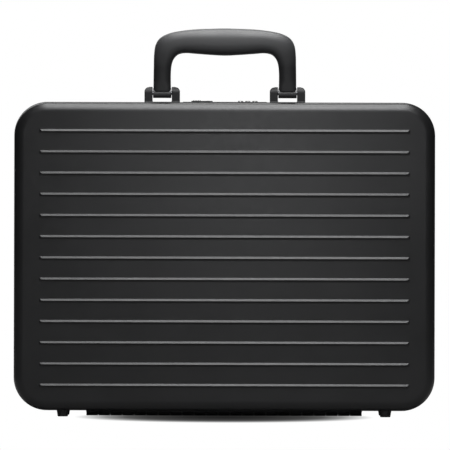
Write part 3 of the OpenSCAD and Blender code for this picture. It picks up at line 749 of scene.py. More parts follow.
# ---------------------------------------------------------------- handle
# Stations from the leg end to the middle of the bar: outer x, outer z, inner x, inner z
# (z above the case top) and half thickness in Y
GRIP_STATIONS = [
    (73.2, 11.1, 55.2, 11.1, 6.4), (73.2, 22.8, 55.4, 20.8, 6.5), (73.0, 36.2, 55.4, 29.8, 6.9),
    (72.7, 49, 54.8, 37.4, 7.6), (71.2, 59, 53.4, 42.7, 8.6), (66.5, 66.3, 51.0, 46.6, 9.4),
    (57.2, 71.1, 47.2, 49.5, 10), (45.0, 73.7, 40.2, 50.8, 10.4), (30.2, 75.3, 30.2, 50.1, 10.8),
    (15.0, 75.9, 15.0, 49.0, 11), (0, 76.3, 0, 48.3, 11)]
# Barrel section: (radius, distance along X from its middle)
EYE_PROFILE = [(2.06, -9.4), (4.6, -9.4), (5.0, -9.25), (5.2, -8.9), (5.2, -6), (5.2, 6),
               (5.2, 8.9), (5.0, 9.25), (4.6, 9.4), (2.06, 9.4)]


def catmull_rom(rows, steps):
    rows = np.array(rows, float)
    out = []
    last = len(rows) - 1
    for i in range(last):
        a, b, c, d = rows[max(i - 1, 0)], rows[i], rows[i + 1], rows[min(i + 2, last)]
        for j in range(steps):
            t = j / steps
            out.append(0.5 * (2 * b + (c - a) * t + (2 * a - 5 * b + 4 * c - d) * t * t
                              + (3 * b - a - 3 * c + d) * t ** 3))
    return out + [rows[-1]]


def grip_section(station):
    outer_x, outer_z, inner_x, inner_z, half_y = station
    mid_z = (outer_z + inner_z) / 2
    low = min(max((24 - mid_z) / 10, 0), 1)
    power = 0.8 - 0.32 * low * low * (3 - 2 * low)      # the leg squares up towards its end
    loop = []
    for turn in turns(48):
        u, w = (math.copysign(abs(v) ** power, v) for v in (math.cos(turn), math.sin(turn)))
        loop.append(((outer_x + inner_x) / 2 + u * (outer_x - inner_x) / 2, TOP_Y + w * half_y,
                     TOP_Z + mid_z + u * (outer_z - inner_z) / 2))
    return loop


def leg_end(loop):
    """Loops of the rounded rim at the lower end of a leg."""
    radius = 0.9
    centre = np.mean(loop, axis=0)
    up = np.array([0, 0, 1.0])
    loops = []
    for k in range(4):
        a = math.pi / 2 * k / 4
        inset, lift = radius * (1 - math.sin(a)), radius * (1 - math.cos(a))
        rim = []
        for point in loop:
            arm = np.array(point) - centre
            reach = np.linalg.norm(arm)
            rim.append(tuple(centre + arm * (reach - inset) / reach + up * lift))
        loops.append(rim)
    return loops


def handle_grip():
    mirrored = [(-a, b, -c, d, e) for a, b, c, d, e in GRIP_STATIONS]
    stations = catmull_rom(mirrored + GRIP_STATIONS[-2::-1], 7)
    loops = [grip_section(station) for station in stations]
    loops = leg_end(loops[0]) + loops[1:-1] + leg_end(loops[-1])[::-1]
    grip = piece("handle_grip_body", skin(loops), GRIP, "handle", "handle_grip", angle=50)
    cut(grip, merge([cylinder("x", (s * LEG_X, TOP_Y, PIVOT_Z), (-12, 12), 5.35, 64)
                     for s in SIDES]))
    shade(grip, 50)


def handle_eyes():
    """Pivot barrels, joined by a square core running up the legs and along the bar."""
    parts = []
    for s in SIDES:
        parts.append(revolve(EYE_PROFILE, (s * LEG_X, TOP_Y, PIVOT_Z), "x", 56, closed=True))
        parts.append(box(around(s * LEG_X, 4), around(TOP_Y, 2), (PIVOT_Z + 4, TOP_Z + 58)))
    parts.append(box((-61, 61), around(TOP_Y, 2), (TOP_Z + 54, TOP_Z + 62)))
    piece("handle_core_eyes", merge(parts), EYE, "handle", "handle_core")


handle_grip()
handle_eyes()

# ---------------------------------------------------------------- handle brackets and pins
EAR_INNER, EAR_OUTER = 9.85, 18.15      # faces of a bracket ear, from the leg's middle
EAR_HALF_Y = 6.3
# (radius, distance outward from the ear's outer face)
PIN_HEAD = [(0, -7.9), (1.98, -7.9), (1.98, -0.1), (2.55, -0.05), (2.6, 0.06), (2.3, 0.09),
            (0.8, 0.095), (0.7, 0.0), (0, 0.0)]


def arc_drop(radius, distance):
    """How far a rounded edge has dropped, at a distance in from its face."""
    from_centre = radius - min(distance, radius)
    return radius - math.sqrt(max(radius ** 2 - from_centre ** 2, 0))


def ear(middle_x, side):
    """Round-topped ear with small rounded rims and a large shoulder on its outer face."""
    inner, outer = middle_x + side * EAR_INNER, middle_x + side * EAR_OUTER
    low, high = min(inner, outer), max(inner, outer)
    rim, shoulder = 0.7, 5
    steps = [0, 0.08, 0.2, 0.4, 0.7]
    xs = [low + d for d in steps] + [high - d for d in steps]
    xs += [low + 1.3 + (high - low - 2.6) * k / 6 for k in range(7)]
    xs += [outer - side * d for d in (2.2, 3.2, 4.2)]
    loops = []
    for x in sorted(xs):
        from_outer = abs(outer - x)
        inset = max(arc_drop(rim, abs(x - inner)), arc_drop(rim, from_outer))
        drop = arc_drop(shoulder, from_outer)
        half = EAR_HALF_Y - inset
        limit = PIVOT_Z + EAR_HALF_Y - max(drop, inset)
        loop = []
        for k in range(33):
            a = math.pi * k / 32
            z = PIVOT_Z + half * math.sin(a)
            if drop > 0.02:
                over = z - limit
                z -= 0.5 * (over + math.sqrt(over * over + 0.3))    # soft upper limit
            loop.append((x, TOP_Y + half * math.cos(a), max(z, PIVOT_Z - 3)))
        loop += [(x, TOP_Y - half, TOP_Z + 0.5), (x, TOP_Y + half, TOP_Z + 0.5)]
        loops.append(loop)
    return skin(loops)


def ear_welt(middle_x, side):
    """Fillet where an ear meets the plate."""
    size = 1.1
    outer = middle_x + side * EAR_OUTER
    loops = []
    for k in range(5):
        a = math.pi / 2 * k / 4
        spread, lift = size * (1 - math.sin(a)), size * (1 - math.cos(a))
        inner = middle_x + side * (EAR_INNER - spread)
        points = rounded_rect((inner + outer) / 2, TOP_Y, abs(outer - inner) / 2,
                              6.25 + spread, 0.5 + spread * 0.5, 4)
        loops.append([(x, y, PLATE_Z - 0.1 + lift) for x, y in points])
    return skin(loops)


def bracket(name, side):
    x = side * LEG_X
    plate = slab((x, TOP_Y), (EAR_OUTER, 9.4), 2.2, 6, TOP_Z - 1, PLATE_Z, rim=0.5, rim_steps=3)
    parts = [plate, ear(x, 1), ear(x, -1), ear_welt(x, 1), ear_welt(x, -1)]
    piece(f"{name}_body", merge(parts), HARDWARE, "base", name, angle=45)


def handle_pins():
    parts = []
    for s in SIDES:
        for end in SIDES:
            face = (s * LEG_X + end * 18.05, TOP_Y, PIVOT_Z)
            parts.append(revolve(PIN_HEAD, face, "x", 40, end))
        shaft = [(0, -10.4), (2.0, -10.4), (2.0, 10.4), (0, 10.4)]
        parts.append(revolve(shaft, (s * LEG_X, TOP_Y, PIVOT_Z), "x", 40))
    piece("handle_pin_ends", merge(parts), STEEL, "base", "handle_pins")


bracket("handle_bracket_left", -1)
bracket("handle_bracket_right", 1)
handle_pins()

# ---------------------------------------------------------------- lock plate, dials and button
# Dial rim: (x from the wheel's middle, inset from the full radius)
DIAL_PROFILE = [(-2.8, 0.75), (-2.66, 0.35), (-2.35, 0.08), (-2.0, 0), (0, 0), (2.0, 0),
                (2.35, 0.08), (2.66, 0.35), (2.8, 0.75)]


def lock_plate():
    plate = piece("lock_plate_body",
                  slab((0, TOP_Y), (43.2, 10.2), 3.2, 8, TOP_Z - 1, PLATE_Z, rim=0.6, rim_steps=4),
                  HARDWARE, "base", "lock_plate")
    depth = around(TOP_Z, 3)
    windows = [rect_stack((x, TOP_Y), (3.1, 6.2), 0.7, 4, [(0, z) for z in depth])
               for x in DIAL_X]
    button_slot = box(BUTTON_SLOT_X, around(TOP_Y, 2.8), depth)
    tray = rect_stack((DIAL_X[1], TOP_Y), (13.4, 8.2), 1.8, 6,
                      [(0.35, PLATE_Z - 0.28), (0, PLATE_Z + 0.5)])
    cut(plate, *windows, button_slot, tray)
    shade(plate, 30)


def dial_wheel(x):
    """Bored wheel with a groove between each two of its ten lands."""
    count, groove_half, groove_depth = 240, 0.95, 0.5
    loops = []
    for dx, inset in DIAL_PROFILE:
        loop = []
        for turn in turns(count):
            offset = (math.degrees(turn) - 90 - 18) % 36
            distance = min(offset, 36 - offset) * math.pi / 180 * DIAL_R
            bowl = math.cos(min(distance / groove_half, 1) * math.pi / 2) ** 1.3
            r = DIAL_R - inset - groove_depth * bowl
            loop.append((x + dx, TOP_Y + r * math.cos(turn), DIAL_Z + r * math.sin(turn)))
        loops.append(loop)
    loops += [ring((x, TOP_Y, DIAL_Z), "x", 2.62, dx, count) for dx in (2.8, -2.8)]
    return skin(loops, closed=True)


def flat_digit(digit):
    """Filled outline of a digit, centred on its box: (x, y) points and faces."""
    curve = bpy.data.curves.new("digit", "FONT")
    curve.body = str(digit)
    curve.size = 3.3 * MM
    curve.align_x = curve.align_y = "CENTER"
    curve.resolution_u = 3
    obj = link("digit", curve)
    evaluated = obj.evaluated_get(bpy.context.evaluated_depsgraph_get())
    mesh = evaluated.to_mesh()
    points = [(v.co.x * 1000, v.co.y * 1000) for v in mesh.vertices]
    faces = [tuple(polygon.vertices) for polygon in mesh.polygons]
    evaluated.to_mesh_clear()
    bpy.data.objects.remove(obj)
    bpy.data.curves.remove(curve)
    mid_x, mid_y = ((max(axis) + min(axis)) / 2 for axis in zip(*points))
    return [(x - mid_x, y - mid_y) for x, y in points], faces


def wrapped_digit(digit, dial_x):
    """The digit as a thin solid wrapped on its land of the wheel."""
    points, flat = flat_digit(digit)
    verts = []
    for radius in (7.03, 6.9):
        for x, y in points:
            a = math.pi / 2 - math.radians(36 * digit) - y / DIAL_R
            verts.append((dial_x + x, TOP_Y + radius * math.cos(a),
                          DIAL_Z + radius * math.sin(a)))
    n = len(points)
    faces = flat + [tuple(n + i for i in reversed(face)) for face in flat]
    uses = {}
    for face in flat:
        for edge in ring_pairs(face):
            uses.setdefault(tuple(sorted(edge)), []).append(edge)
    for edges in uses.values():
        if len(edges) == 1:     # an outline edge gets a side wall
            i, j = edges[0]
            faces.append((j, i, n + i, n + j))
    return verts, faces


def slide_button():
    low = PLATE_Z + 0.06
    on_face = low + 0.85
    parts = [slab((-23.4, TOP_Y), (10.9, 4.5), 1.8, 6, low, low + 1.0, rim=0.3, rim_steps=3,
                  round_low=True)]
    for i in range(5):          # raised ridges
        parts.append(slab((-32.6 + i * 1.7 + 0.45, TOP_Y), (0.55, 3.4), 0.4, 4, on_face,
                          TOP_Z + 2.45, rim=0.28, rim_steps=3, radius_loss=0.4))
    # travel mark
    parts.append(slab((-17.2, TOP_Y), (1.6, 0.45), 0.4, 4, on_face, low + 1.16,
                      rim=0.12, rim_steps=2, radius_loss=0.4))
    # stem down through the slot
    parts.append(box((-26, -20), around(TOP_Y, 2.4),
                     (cad_box("slide_button")[0][2], low + 0.1)))
    piece("slide_button_body", merge(parts), HARDWARE, "latch", "slide_button")


lock_plate()
for k, x in enumerate(DIAL_X, 1):
    dial_body = "dial_" + "abc"[k - 1]
    piece(f"dial_{k}_wheel", dial_wheel(x), DIAL, dial_body, f"dial_{k}")
    digits = merge([wrapped_digit(digit, x) for digit in range(10)])
    piece(f"dial_{k}_figures", digits, PAINT, dial_body, angle=30, weighted=False)
slide_button()

# ---------------------------------------------------------------- hinge and feet
HINGE_LENGTH, KNUCKLES = 282.0, 23
KNUCKLE_PITCH = HINGE_LENGTH / KNUCKLES
# Leaf section: (y from the parting, z, corner radius)
LEAF_SECTION = [(3.0, 4.7, 0.1), (13.2, 4.7, 0.35), (13.2, 5.98, 0.35), (3.0, 5.98, 0.1)]
LEAF_MID, LEAF_HALF = (8.1, 5.34), (5.1, 0.64)
# (radius, z)
HINGE_RIVET = [(0, 4.75), (2.45, 4.75), (2.5, 4.5), (2.25, 4.15), (1.6, 3.93), (0.8, 3.89),
               (0, 3.88)]
# Closed section with a screw recess below: (radius, z)
FOOT_PROFILE = [(3.0, 2.6), (3.0, 0.5), (3.25, 0.1), (3.6, 0.0), (4.5, 0.0), (5.0, 0.15),
                (5.25, 0.5), (5.5, 2.2), (5.62, 2.5), (5.55, 2.8), (5.66, 3.1), (6.1, 5.6),
                (6.5, 6.3), (6.55, 6.7), (6.4, 7.0), (1.5, 7.0), (1.5, 2.6)]


def soft_ends(start, end, steps):
    """(x, inset) stations of a bar whose ends are eased by (distance, inset) steps."""
    return ([(start + d, inset) for d, inset in steps]
            + [(end - d, inset) for d, inset in reversed(steps)])


def knuckle(k, side):
    """Rolled barrel running into its leaf."""
    start = -HINGE_LENGTH / 2 + k * KNUCKLE_PITCH + 0.17
    end = -HINGE_LENGTH / 2 + (k + 1) * KNUCKLE_PITCH - 0.17
    loops = []
    for x, inset in soft_ends(start, end, ((0, 0.25), (0.07, 0.1), (0.25, 0))):
        radius = 2.6 - inset
        # from the top, round the side away from the leaf and under, to the leaf side
        angles = [math.radians(90 + 270 * j / 28) for j in range(29)]
        loop = [(radius * math.cos(a), 3.1 + radius * math.sin(a)) for a in angles]
        loop += [(2.65, 4.7 + inset), (3.4, 4.72 + inset), (3.4, 5.96 - inset),
                 (0.6, 5.9 - inset)]
        loops.append([(x, PART_Y + side * y, z) for y, z in loop])
    return skin(loops)


def hinge_leaf(part, side, first_knuckle):
    section = rounded_polygon(LEAF_SECTION, 3)
    (mid_y, mid_z), (half_y, half_z) = LEAF_MID, LEAF_HALF
    ends = soft_ends(-HINGE_LENGTH / 2, HINGE_LENGTH / 2, ((0, 0.3), (0.1, 0.1), (0.3, 0)))
    loops = [[(x, PART_Y + side * (mid_y + (y - mid_y) * (1 - inset / half_y)),
               mid_z + (z - mid_z) * (1 - inset / half_z)) for y, z in section]
             for x, inset in ends]
    parts = [skin(loops)] + [knuckle(k, side) for k in range(first_knuckle, KNUCKLES, 2)]
    piece(f"hinge_leaf_{part}_strip", merge(parts), HINGE_PAINTED_FILL, part, f"hinge_leaf_{part}")


def hinge_rivets(part, side):
    heads = [revolve(HINGE_RIVET, (x, PART_Y + side * RIVET_DY, 0), "z", 32)
             for x in range(-126, 127, 36)]
    piece(f"hinge_rivets_{part}_heads", merge(heads), HARDWARE, part, f"hinge_rivets_{part}",
          angle=50)


def feet(part, side):
    profile = [(min(r, 5.2 + 1.2 * z / 7.02), z) for r, z in FOOT_PROFILE]     # within a cone
    pair = [revolve(profile, (s * FOOT_X, side * FOOT_Y, 0), "z", 56, closed=True)
            for s in SIDES]
    piece(f"{part}_feet_rubber", merge(pair), RUBBER, part, f"{part}_feet", angle=45)


hinge_leaf("base", 1, first_knuckle=0)
hinge_leaf("lid", -1, first_knuckle=1)
for make in (hinge_rivets, feet):
    for part, side in HALVES:
        make(part, side)


def simulated_heights(name, verts, pins):
    """Cloth blown by pressure for 20 frames; heights are scaled to about 0..1."""
    rows, columns = pins.shape
    obj = link(name, new_mesh(name, verts, grid_faces(columns, rows)))
    group = obj.vertex_groups.new(name="pin")
    group.add([int(i) for i in np.flatnonzero(pins)], 1.0, "REPLACE")
    cloth = obj.modifiers.new("cloth", "CLOTH")
    settings = cloth.settings
    settings.quality = 6
    settings.mass = 0.15
    settings.tension_stiffness = settings.compression_stiffness = 12
    settings.shear_stiffness = 5
    settings.bending_stiffness = 0.3
    settings.use_pressure = True
    settings.uniform_pressure_force = 4.0
    settings.vertex_group_mass = "pin"
    settings.effector_weights.gravity = 0
    cloth.collision_settings.use_collision = False
    cloth.point_cache.frame_start = 1
    cloth.point_cache.frame_end = 20
    scene = bpy.context.scene
    for frame in range(1, 21):
        scene.frame_set(frame)
    evaluated = obj.evaluated_get(bpy.context.evaluated_depsgraph_get())
    height = np.abs(np.array([v.co.y for v in evaluated.to_mesh().vertices]))
    evaluated.to_mesh_clear()
    bpy.data.objects.remove(obj)
    scene.frame_set(1)
    height = height / max(float(np.percentile(height, 96)), 1e-7)
    # the highest parts are eased off
    height = np.where(height > 0.8, 0.8 + 0.2 * np.tanh((height - 0.8) / 0.2), height)
    return height.reshape(rows, columns)


def blown_cloth(name, half_x, half_z, cell, seams=(), open_top=False):
    """Cloth pinned at its edges and (axis, place) seams: x lines, z lines and heights."""
    columns, rows = (max(6, int(round(2 * half / cell))) for half in (half_x, half_z))
    xs = [-half_x + 2 * half_x * i / columns for i in range(columns + 1)]
    zs = [-half_z + 2 * half_z * j / rows for j in range(rows + 1)]
    reach = cell * 0.6

    def pinned(x, z):
        if abs(x) > half_x - reach or z < -half_z + reach:
            return True
        if z > half_z - reach and not open_top:
            return True
        return any(abs((x if axis == "x" else z) - place) < reach for axis, place in seams)

    pins = np.array([[pinned(x, z) for x in xs] for z in zs])
    return xs, zs, simulated_heights(name, [(x, 0, z) for z in zs for x in xs], pins)


def smooth_cloth(obj, finish, y_limits):
    """Subdivide once, then hold the sheet between its Y limits."""
    modifier = obj.modifiers.new("sub", "SUBSURF")
    modifier.levels = modifier.render_levels = 1
    apply_modifiers(obj)
    obj.data.shade_smooth()
    low, high = sorted(y * MM for y in y_limits)
    for vertex in obj.data.vertices:
        vertex.co.y = min(max(vertex.co.y, low), high)
    set_finish(obj.data, finish)


def padded_panel(name, mid_z, half_x, half_z, back_y, front_y, corner, edge, seams, body,
                 replaces=None):
    """Closed pad in XZ, blown from back_y to front_y; edge is its relative edge thickness."""
    xs, zs, heights = blown_cloth(name, half_x, half_z, 6.0, seams)
    front = []
    for z, row in zip(zs, heights):
        over = abs(z) - (half_z - corner)
        width = half_x
        if over > 0:            # narrows to round the corners
            width -= corner - math.sqrt(max(corner * corner - over * over, 0))
        for x, height in zip(xs, row):
            t = min(edge + (1 - edge) * float(height), 1.0)
            front.append((x * width / half_x, back_y + (front_y - back_y) * t, mid_z + z))
    back = [(x, back_y, z) for x, _, z in front]
    pad = piece(name, (front + back, sheet_faces(len(xs), len(zs))), LINING, body, replaces,
                angle=50, weighted=False)
    smooth_cloth(pad, LINING, (back_y, front_y))


# One stitch: (fraction along it, relative thickness, lift)
STITCH_STATIONS = ((0, 0.35, -0.1), (0.18, 0.9, 0.1), (0.5, 1.0, 0.16), (0.82, 0.9, 0.1),
                   (1, 0.35, -0.1))


def stitching(name, paths, body, up=(0, 1, 0)):
    """Sewing thread: short rounded dashes along paths of 3-D points."""
    radius, length, gap = 0.24, 2.5, 1.3
    up = np.array(up, float)
    dashes = []
    for path in paths:
        path = np.array(path, float)
        travel = [0, *np.cumsum(np.linalg.norm(np.diff(path, axis=0), axis=1))]
        total = travel[-1]
        count = int(total // (length + gap))
        for k in range(count):
            start = k * total / count + gap / 2
            a, b = (np.array([np.interp(s, travel, path[:, axis]) for axis in range(3)])
                    for s in (start, start + length))
            across = np.cross((b - a) / np.linalg.norm(b - a), up)
            across /= np.linalg.norm(across)
            loops = []
            for along, thickness, lift in STITCH_STATIONS:
                centre = a + (b - a) * along + up * lift
                loops.append([tuple(centre + radius * thickness
                                    * (across * math.cos(t) + up * 0.8 * math.sin(t)))
                              for t in turns(6)])
            dashes.append(skin(loops))
    piece(name, merge(dashes), THREAD, body, angle=60, weighted=False)


# ---------------------------------------------------------------- linings
def lining(part, side, mouth_y, seams, stay_y, stay_z):
    """Moulded wall cloth, a padded panel inside it, and a cord in their joint."""
    arc_y = 43.0                # where the wall starts to turn in to the panel
    half_way = (mouth_y + arc_y) / 2
    profile = [(2.8, mouth_y + 0.7), (2.8, half_way), (2.8, arc_y)]
    profile += quarter_arc(10.05, arc_y, 7.25, 6)[1:]
    profile += quarter_arc(10.05, arc_y, 5.35, 6)[:0:-1]
    profile += [(4.7, arc_y), (4.72, half_way), (4.7, mouth_y + 2.2), (4.74, mouth_y + 0.8),
                (4.3, mouth_y + 0.2), (3.75, mouth_y + 0.03), (3.2, mouth_y + 0.2)]
    wall = piece(f"{part}_lining_wall", skin(outline_loops(profile, 16, 14, side), closed=True),
                 LINING, part, f"{part}_lining", angle=50, weighted=False)
    # holes for the stay rivets and the foot screws
    holes = [cylinder("x", (s * 207, stay_y, stay_z + dz), (-5, 9), 1.75, 20)
             for s in SIDES for dz in (-9.5, 9.5)]
    holes += [cylinder("z", (s * FOOT_X, side * FOOT_Y, BOTTOM_Z), (0, 8), 2.9, 24)
              for s in SIDES]
    cutters = [merge(holes)]
    if part == "base":
        cutters.append(box((-112, 112), (-2, 24), (TOP_Z - 22, TOP_Z + 2)))    # lock opening
    cut(wall, *cutters)
    shade(wall, 50)
    set_finish(wall.data, LINING)

    half_x, half_z = WIDTH / 2 - 10.1, HEIGHT / 2 - 10.1
    padded_panel(f"{part}_lining_panel", MID_Z, half_x, half_z, side * 50.27, side * 48.35,
                 23.5, 0.3, seams, part)
    cord = [(10.4 + 0.85 * math.cos(t), side * (49.15 + 0.8 * math.sin(t))) for t in turns(8)]
    piece(f"{part}_lining_cord", skin(outline_loops(cord, 12, 3), closed=True), PIPING, part,
          angle=60, weighted=False)
    y = side * 49.62
    paths = []
    for axis, place in seams:
        if axis == "x":
            paths.append([(place, y, MID_Z + s * (half_z - 8)) for s in SIDES])
        else:
            paths.append([(s * (half_x - 8), y, MID_Z + place) for s in SIDES])
    stitching(f"{part}_lining_stitching", paths, part, up=(0, -side, 0))


lining("base", 1, 2.2, [("x", -128.0), ("x", 0.0), ("x", 128.0)], 16.948, 64.436)
lining("lid", -1, 25.8, [("z", 138.0)], -33.215, 79.257)


# ---------------------------------------------------------------- organiser in the lid
def organizer():
    """Padded board with a bound edge."""
    half_x, half_z, mid_z = 171.9, 129.4, 163.5
    padded_panel("organizer_pad", mid_z, half_x, half_z, -48.15, -46.42, 9, 0.45,
                 [("z", 54.0)], "lid", "organizer_panel")
    section = [(-1.35 * math.cos(t), -47.3 + 0.85 * math.sin(t)) for t in turns(10)]
    binding = rect_stack((0, mid_z), (half_x - 1.4, half_z - 1.4), 8, 8, section,
                         radius_loss=1, upright=True, closed=True)
    piece("organizer_binding", binding, PIPING, "lid", angle=60, weighted=False)
    line = rounded_rect(0, mid_z, half_x - 4.6, half_z - 4.6, 5, 5)
    stitching("organizer_stitching", [[(x, -47.2, z) for x, z in line + line[:1]]], "lid")


def pocket_binding(edge, low, high, thickness):
    """Tape folded over the mouth, following its blown edge between two Y limits."""
    # (y from the middle of the cloth, its room to the limit, z from the edge)
    fold = ((0.62, 0.02, -5.0), (0.66, 0.02, -0.5), (0.5, 0, 0.35), (0, 0, 0.6),
            (-0.5, 0.02, 0.35), (-0.62, 0.02, -0.5), (-0.6, 0.02, -5.0))
    loops = []
    for x, y, z in edge:
        mid = y - thickness / 2
        loop = []
        for dy, room, dz in fold:
            fold_y = mid + dy
            if dy > 0:
                fold_y = min(fold_y, high - room)
            elif dy < 0:
                fold_y = max(fold_y, low + room)
            loop.append((x, fold_y, z + dz))
        loops.append(loop)
    return skin(loops)


def pocket(name, x_range, z_range, depth, cell, sag, replaces):
    """Cloth sewn on three sides, with a slightly sagging bound mouth at the top."""
    mid_x, mid_z = sum(x_range) / 2, sum(z_range) / 2
    half_x, half_z = ((high - low) / 2 for low, high in (x_range, z_range))
    low, high, thickness = POCKET_BACK_Y, POCKET_BACK_Y + depth, 0.75
    rise = depth - thickness - 0.25
    xs, zs, heights = blown_cloth(name, half_x - 3, half_z, cell, open_top=True)
    skirt = [-half_x + 0.1, -half_x + 1.2, -half_x + 2.4]       # flat edge for the seam
    heights = np.pad(heights, ((0, 0), (len(skirt), len(skirt))))
    xs = skirt + xs + [-x for x in reversed(skirt)]
    verts = []
    for layer in (1, 0):
        for z, row in zip(zs, heights):
            near_mouth = max(0.0, (z + half_z) / (2 * half_z) - 0.72) / 0.28
            for x, height in zip(xs, row):
                verts.append((mid_x + x, low + 0.04 + rise * float(height) + thickness * layer,
                              mid_z + z - sag * (1 - (x / half_x) ** 2) * near_mouth))
    columns, rows = len(xs), len(zs)
    cloth = piece(name, (verts, sheet_faces(columns, rows)), POCKET, "lid", replaces,
                  angle=50, weighted=False)
    smooth_cloth(cloth, POCKET, (low + 0.01, high - 0.02))
    edge = verts[(rows - 1) * columns:rows * columns]
    piece(name + "_binding", pocket_binding(edge, low, high, thickness), PIPING, "lid",
          angle=60, weighted=False)
    mouth_seam = [(x, min(y + 0.3, high - 0.05), z - 3.6) for x, y, z in edge[1:-1]]
    seam_x, top, bottom = half_x - 1.3, mid_z + half_z - 7, mid_z - half_z + 1.3 + 0.6
    side_seam = [(mid_x + s * seam_x, low + 0.8, z)
                 for s, z in ((-1, top), (-1, bottom), (1, bottom), (1, top))]
    stitching(name + "_stitching", [mouth_seam, side_seam], "lid")


# Pen loop stations: (z, inset)
PEN_LOOP_STATIONS = (
    (226.05, 0.35), (226.3, 0.12), (226.8, 0.0), (232, 0.06), (238, 0.0), (245, 0.12),
    (252, 0), (258, 0.06), (263.2, 0), (263.7, 0.12), (263.95, 0.35))


def pen_loops():
    """Webbing arched over each pen place and sewn flat on both sides."""
    back = POCKET_BACK_Y
    over = [math.radians(205 - 230 * k / 24) for k in range(25)]
    under = [math.radians(-28 + 236 * k / 24) for k in range(25)]
    section = [(-8.95, back + 1.15), (-7.9, back + 1.2)]
    section += [(7.1 * math.cos(a), -42 + 7.1 * math.sin(a)) for a in over]
    section += [(7.9, back + 1.2), (8.95, back + 1.15), (8.95, back + 0.05), (6.7, back + 0.05)]
    section += [(5.5 * math.cos(a), -41.5 + 5.5 * math.sin(a)) for a in under]
    section += [(-6.7, back + 0.05), (-8.95, back + 0.05)]
    parts, paths = [], []
    for mid_x in (82, 112, 142):
        loops = []
        for z, inset in PEN_LOOP_STATIONS:
            loops.append([(mid_x + x * (1 - inset / 16),
                           max(y - (inset * 0.5 if y > -44 else 0), back + 0.03), z)
                          for x, y in section])
        parts.append(skin(loops))
        paths += [[(mid_x + s * 8.2, back + 1.2, z) for z in (228, 262)] for s in SIDES]
    piece("pen_loop_webbing", merge(parts), WEBBING, "lid", "pen_loops", angle=50,
          weighted=False)
    stitching("pen_loop_stitching", paths, "lid")


organizer()
pocket("file_pocket_cloth", (-167.9, 167.9), (38.1, 213.0), depth=4.5, cell=6.0, sag=2.5,
       replaces="file_pocket")
for i in range(3):
    pocket(f"card_pocket_{i + 1}_cloth", (-159.9 + 72 * i, -94.1 + 72 * i), (222.1, 283.2),
           depth=2.8, cell=4.0, sag=0.8, replaces="card_pockets" if i == 0 else None)
pen_loops()

# ---------------------------------------------------------------- hold-down straps in the base
STRAP_X = 78.0
STRAP_Z = (34.2, 292.9)
STRAP_Y = (46.98, 48.02)        # faces of the webbing, inner and outer


def strap(side, name, replaces):
    """Flat webbing with a slight waviness, humped inward through the buckle."""
    mid_x = side * STRAP_X
    inner_y, outer_y = STRAP_Y
    hump_height, hump_reach = 2.9, 11
    loops = []
    for z in [*np.arange(*STRAP_Z, 2.5), STRAP_Z[1]]:
        from_middle = abs(z - MID_Z)
        hump = 0.0
        if from_middle < hump_reach:
            hump = hump_height * (0.5 + 0.5 * math.cos(math.pi * from_middle / hump_reach))
        wave = 0.10 * math.sin(z * 0.09 + side) + 0.06 * math.sin(z * 0.31)
        inner, outer = inner_y + abs(wave) * 0.3 - hump, outer_y - hump
        # (x, inset) across the inner face, then back along the outer
        across = ((-12.4, 0.4), (-12.15, 0.12), (-11.2, 0), (-4, 0.05 + wave * 0.3),
                  (4, 0.05 - wave * 0.3), (11.2, 0), (12.15, 0.12), (12.4, 0.4))
        loop = [(mid_x + x, min(inner + max(inset, 0), outer - 0.15), z)
                for x, inset in across]
        loop += [(mid_x + x, outer - inset, z)
                 for x, inset in reversed(across[:3] + across[5:])]
        loops.append(loop)
    piece(name, skin(loops), WEBBING, "base", replaces, angle=50, weighted=False)


def strap_stitching(side, name):
    """Crossed box of stitches at both ends."""
    mid_x = side * STRAP_X
    y = STRAP_Y[0]
    left, right = around(mid_x, 10.4)
    paths = []
    for low, high in ((36.5, 54.5), (272.5, 290.5)):
        a, b, c, d = (left, y, low), (right, y, low), (right, y, high), (left, y, high)
        paths += [[a, b, c, d, a], [a, c], [b, d]]
    stitching(f"{name}_stitching", paths, "base", up=(0, -1, 0))


def buckle(side, name, replaces):
    """Rounded frame with one window, crossed by a flattened bar."""
    centre = (side * STRAP_X, MID_Z)
    frame = piece(f"{name}_frame",
                  slab(centre, (17, 14), 3.2, 6, 44.05, 46.78, rim=0.8, rim_steps=4,
                       radius_loss=0.4, round_low=True, upright=True),
                  PLASTIC, "base", replaces, angle=45)
    cut(frame, rect_stack(centre, (13, 11), 1.4, 5, [(0, 40), (0, 50)], upright=True))
    bevel = frame.modifiers.new("bevel", "BEVEL")
    bevel.width = 0.4 * MM
    bevel.segments = 2
    bevel.limit_method = "ANGLE"
    bevel.angle_limit = math.radians(50)
    bevel.use_clamp_overlap = True
    bevel.miter_outer = "MITER_ARC"
    apply_modifiers(frame)
    shade(frame, 40)
    loops = [[(centre[0] + x, 46.15 + 0.5 * math.sin(t), MID_Z + 1.9 * math.cos(t))
              for t in turns(14)] for x in (-13.4, -12.6, 0, 12.6, 13.4)]
    piece(f"{name}_bar", skin(loops), PLASTIC, "base", angle=45)


for side, word in ((-1, "left"), (1, "right")):
    first = side < 0            # the first piece of a pair stands in for the CAD node
    strap(side, f"hold_down_strap_{word}", "hold_down_straps" if first else None)
    strap_stitching(side, f"hold_down_strap_{word}")
    buckle(side, f"strap_buckle_{word}", "strap_buckles" if first else None)

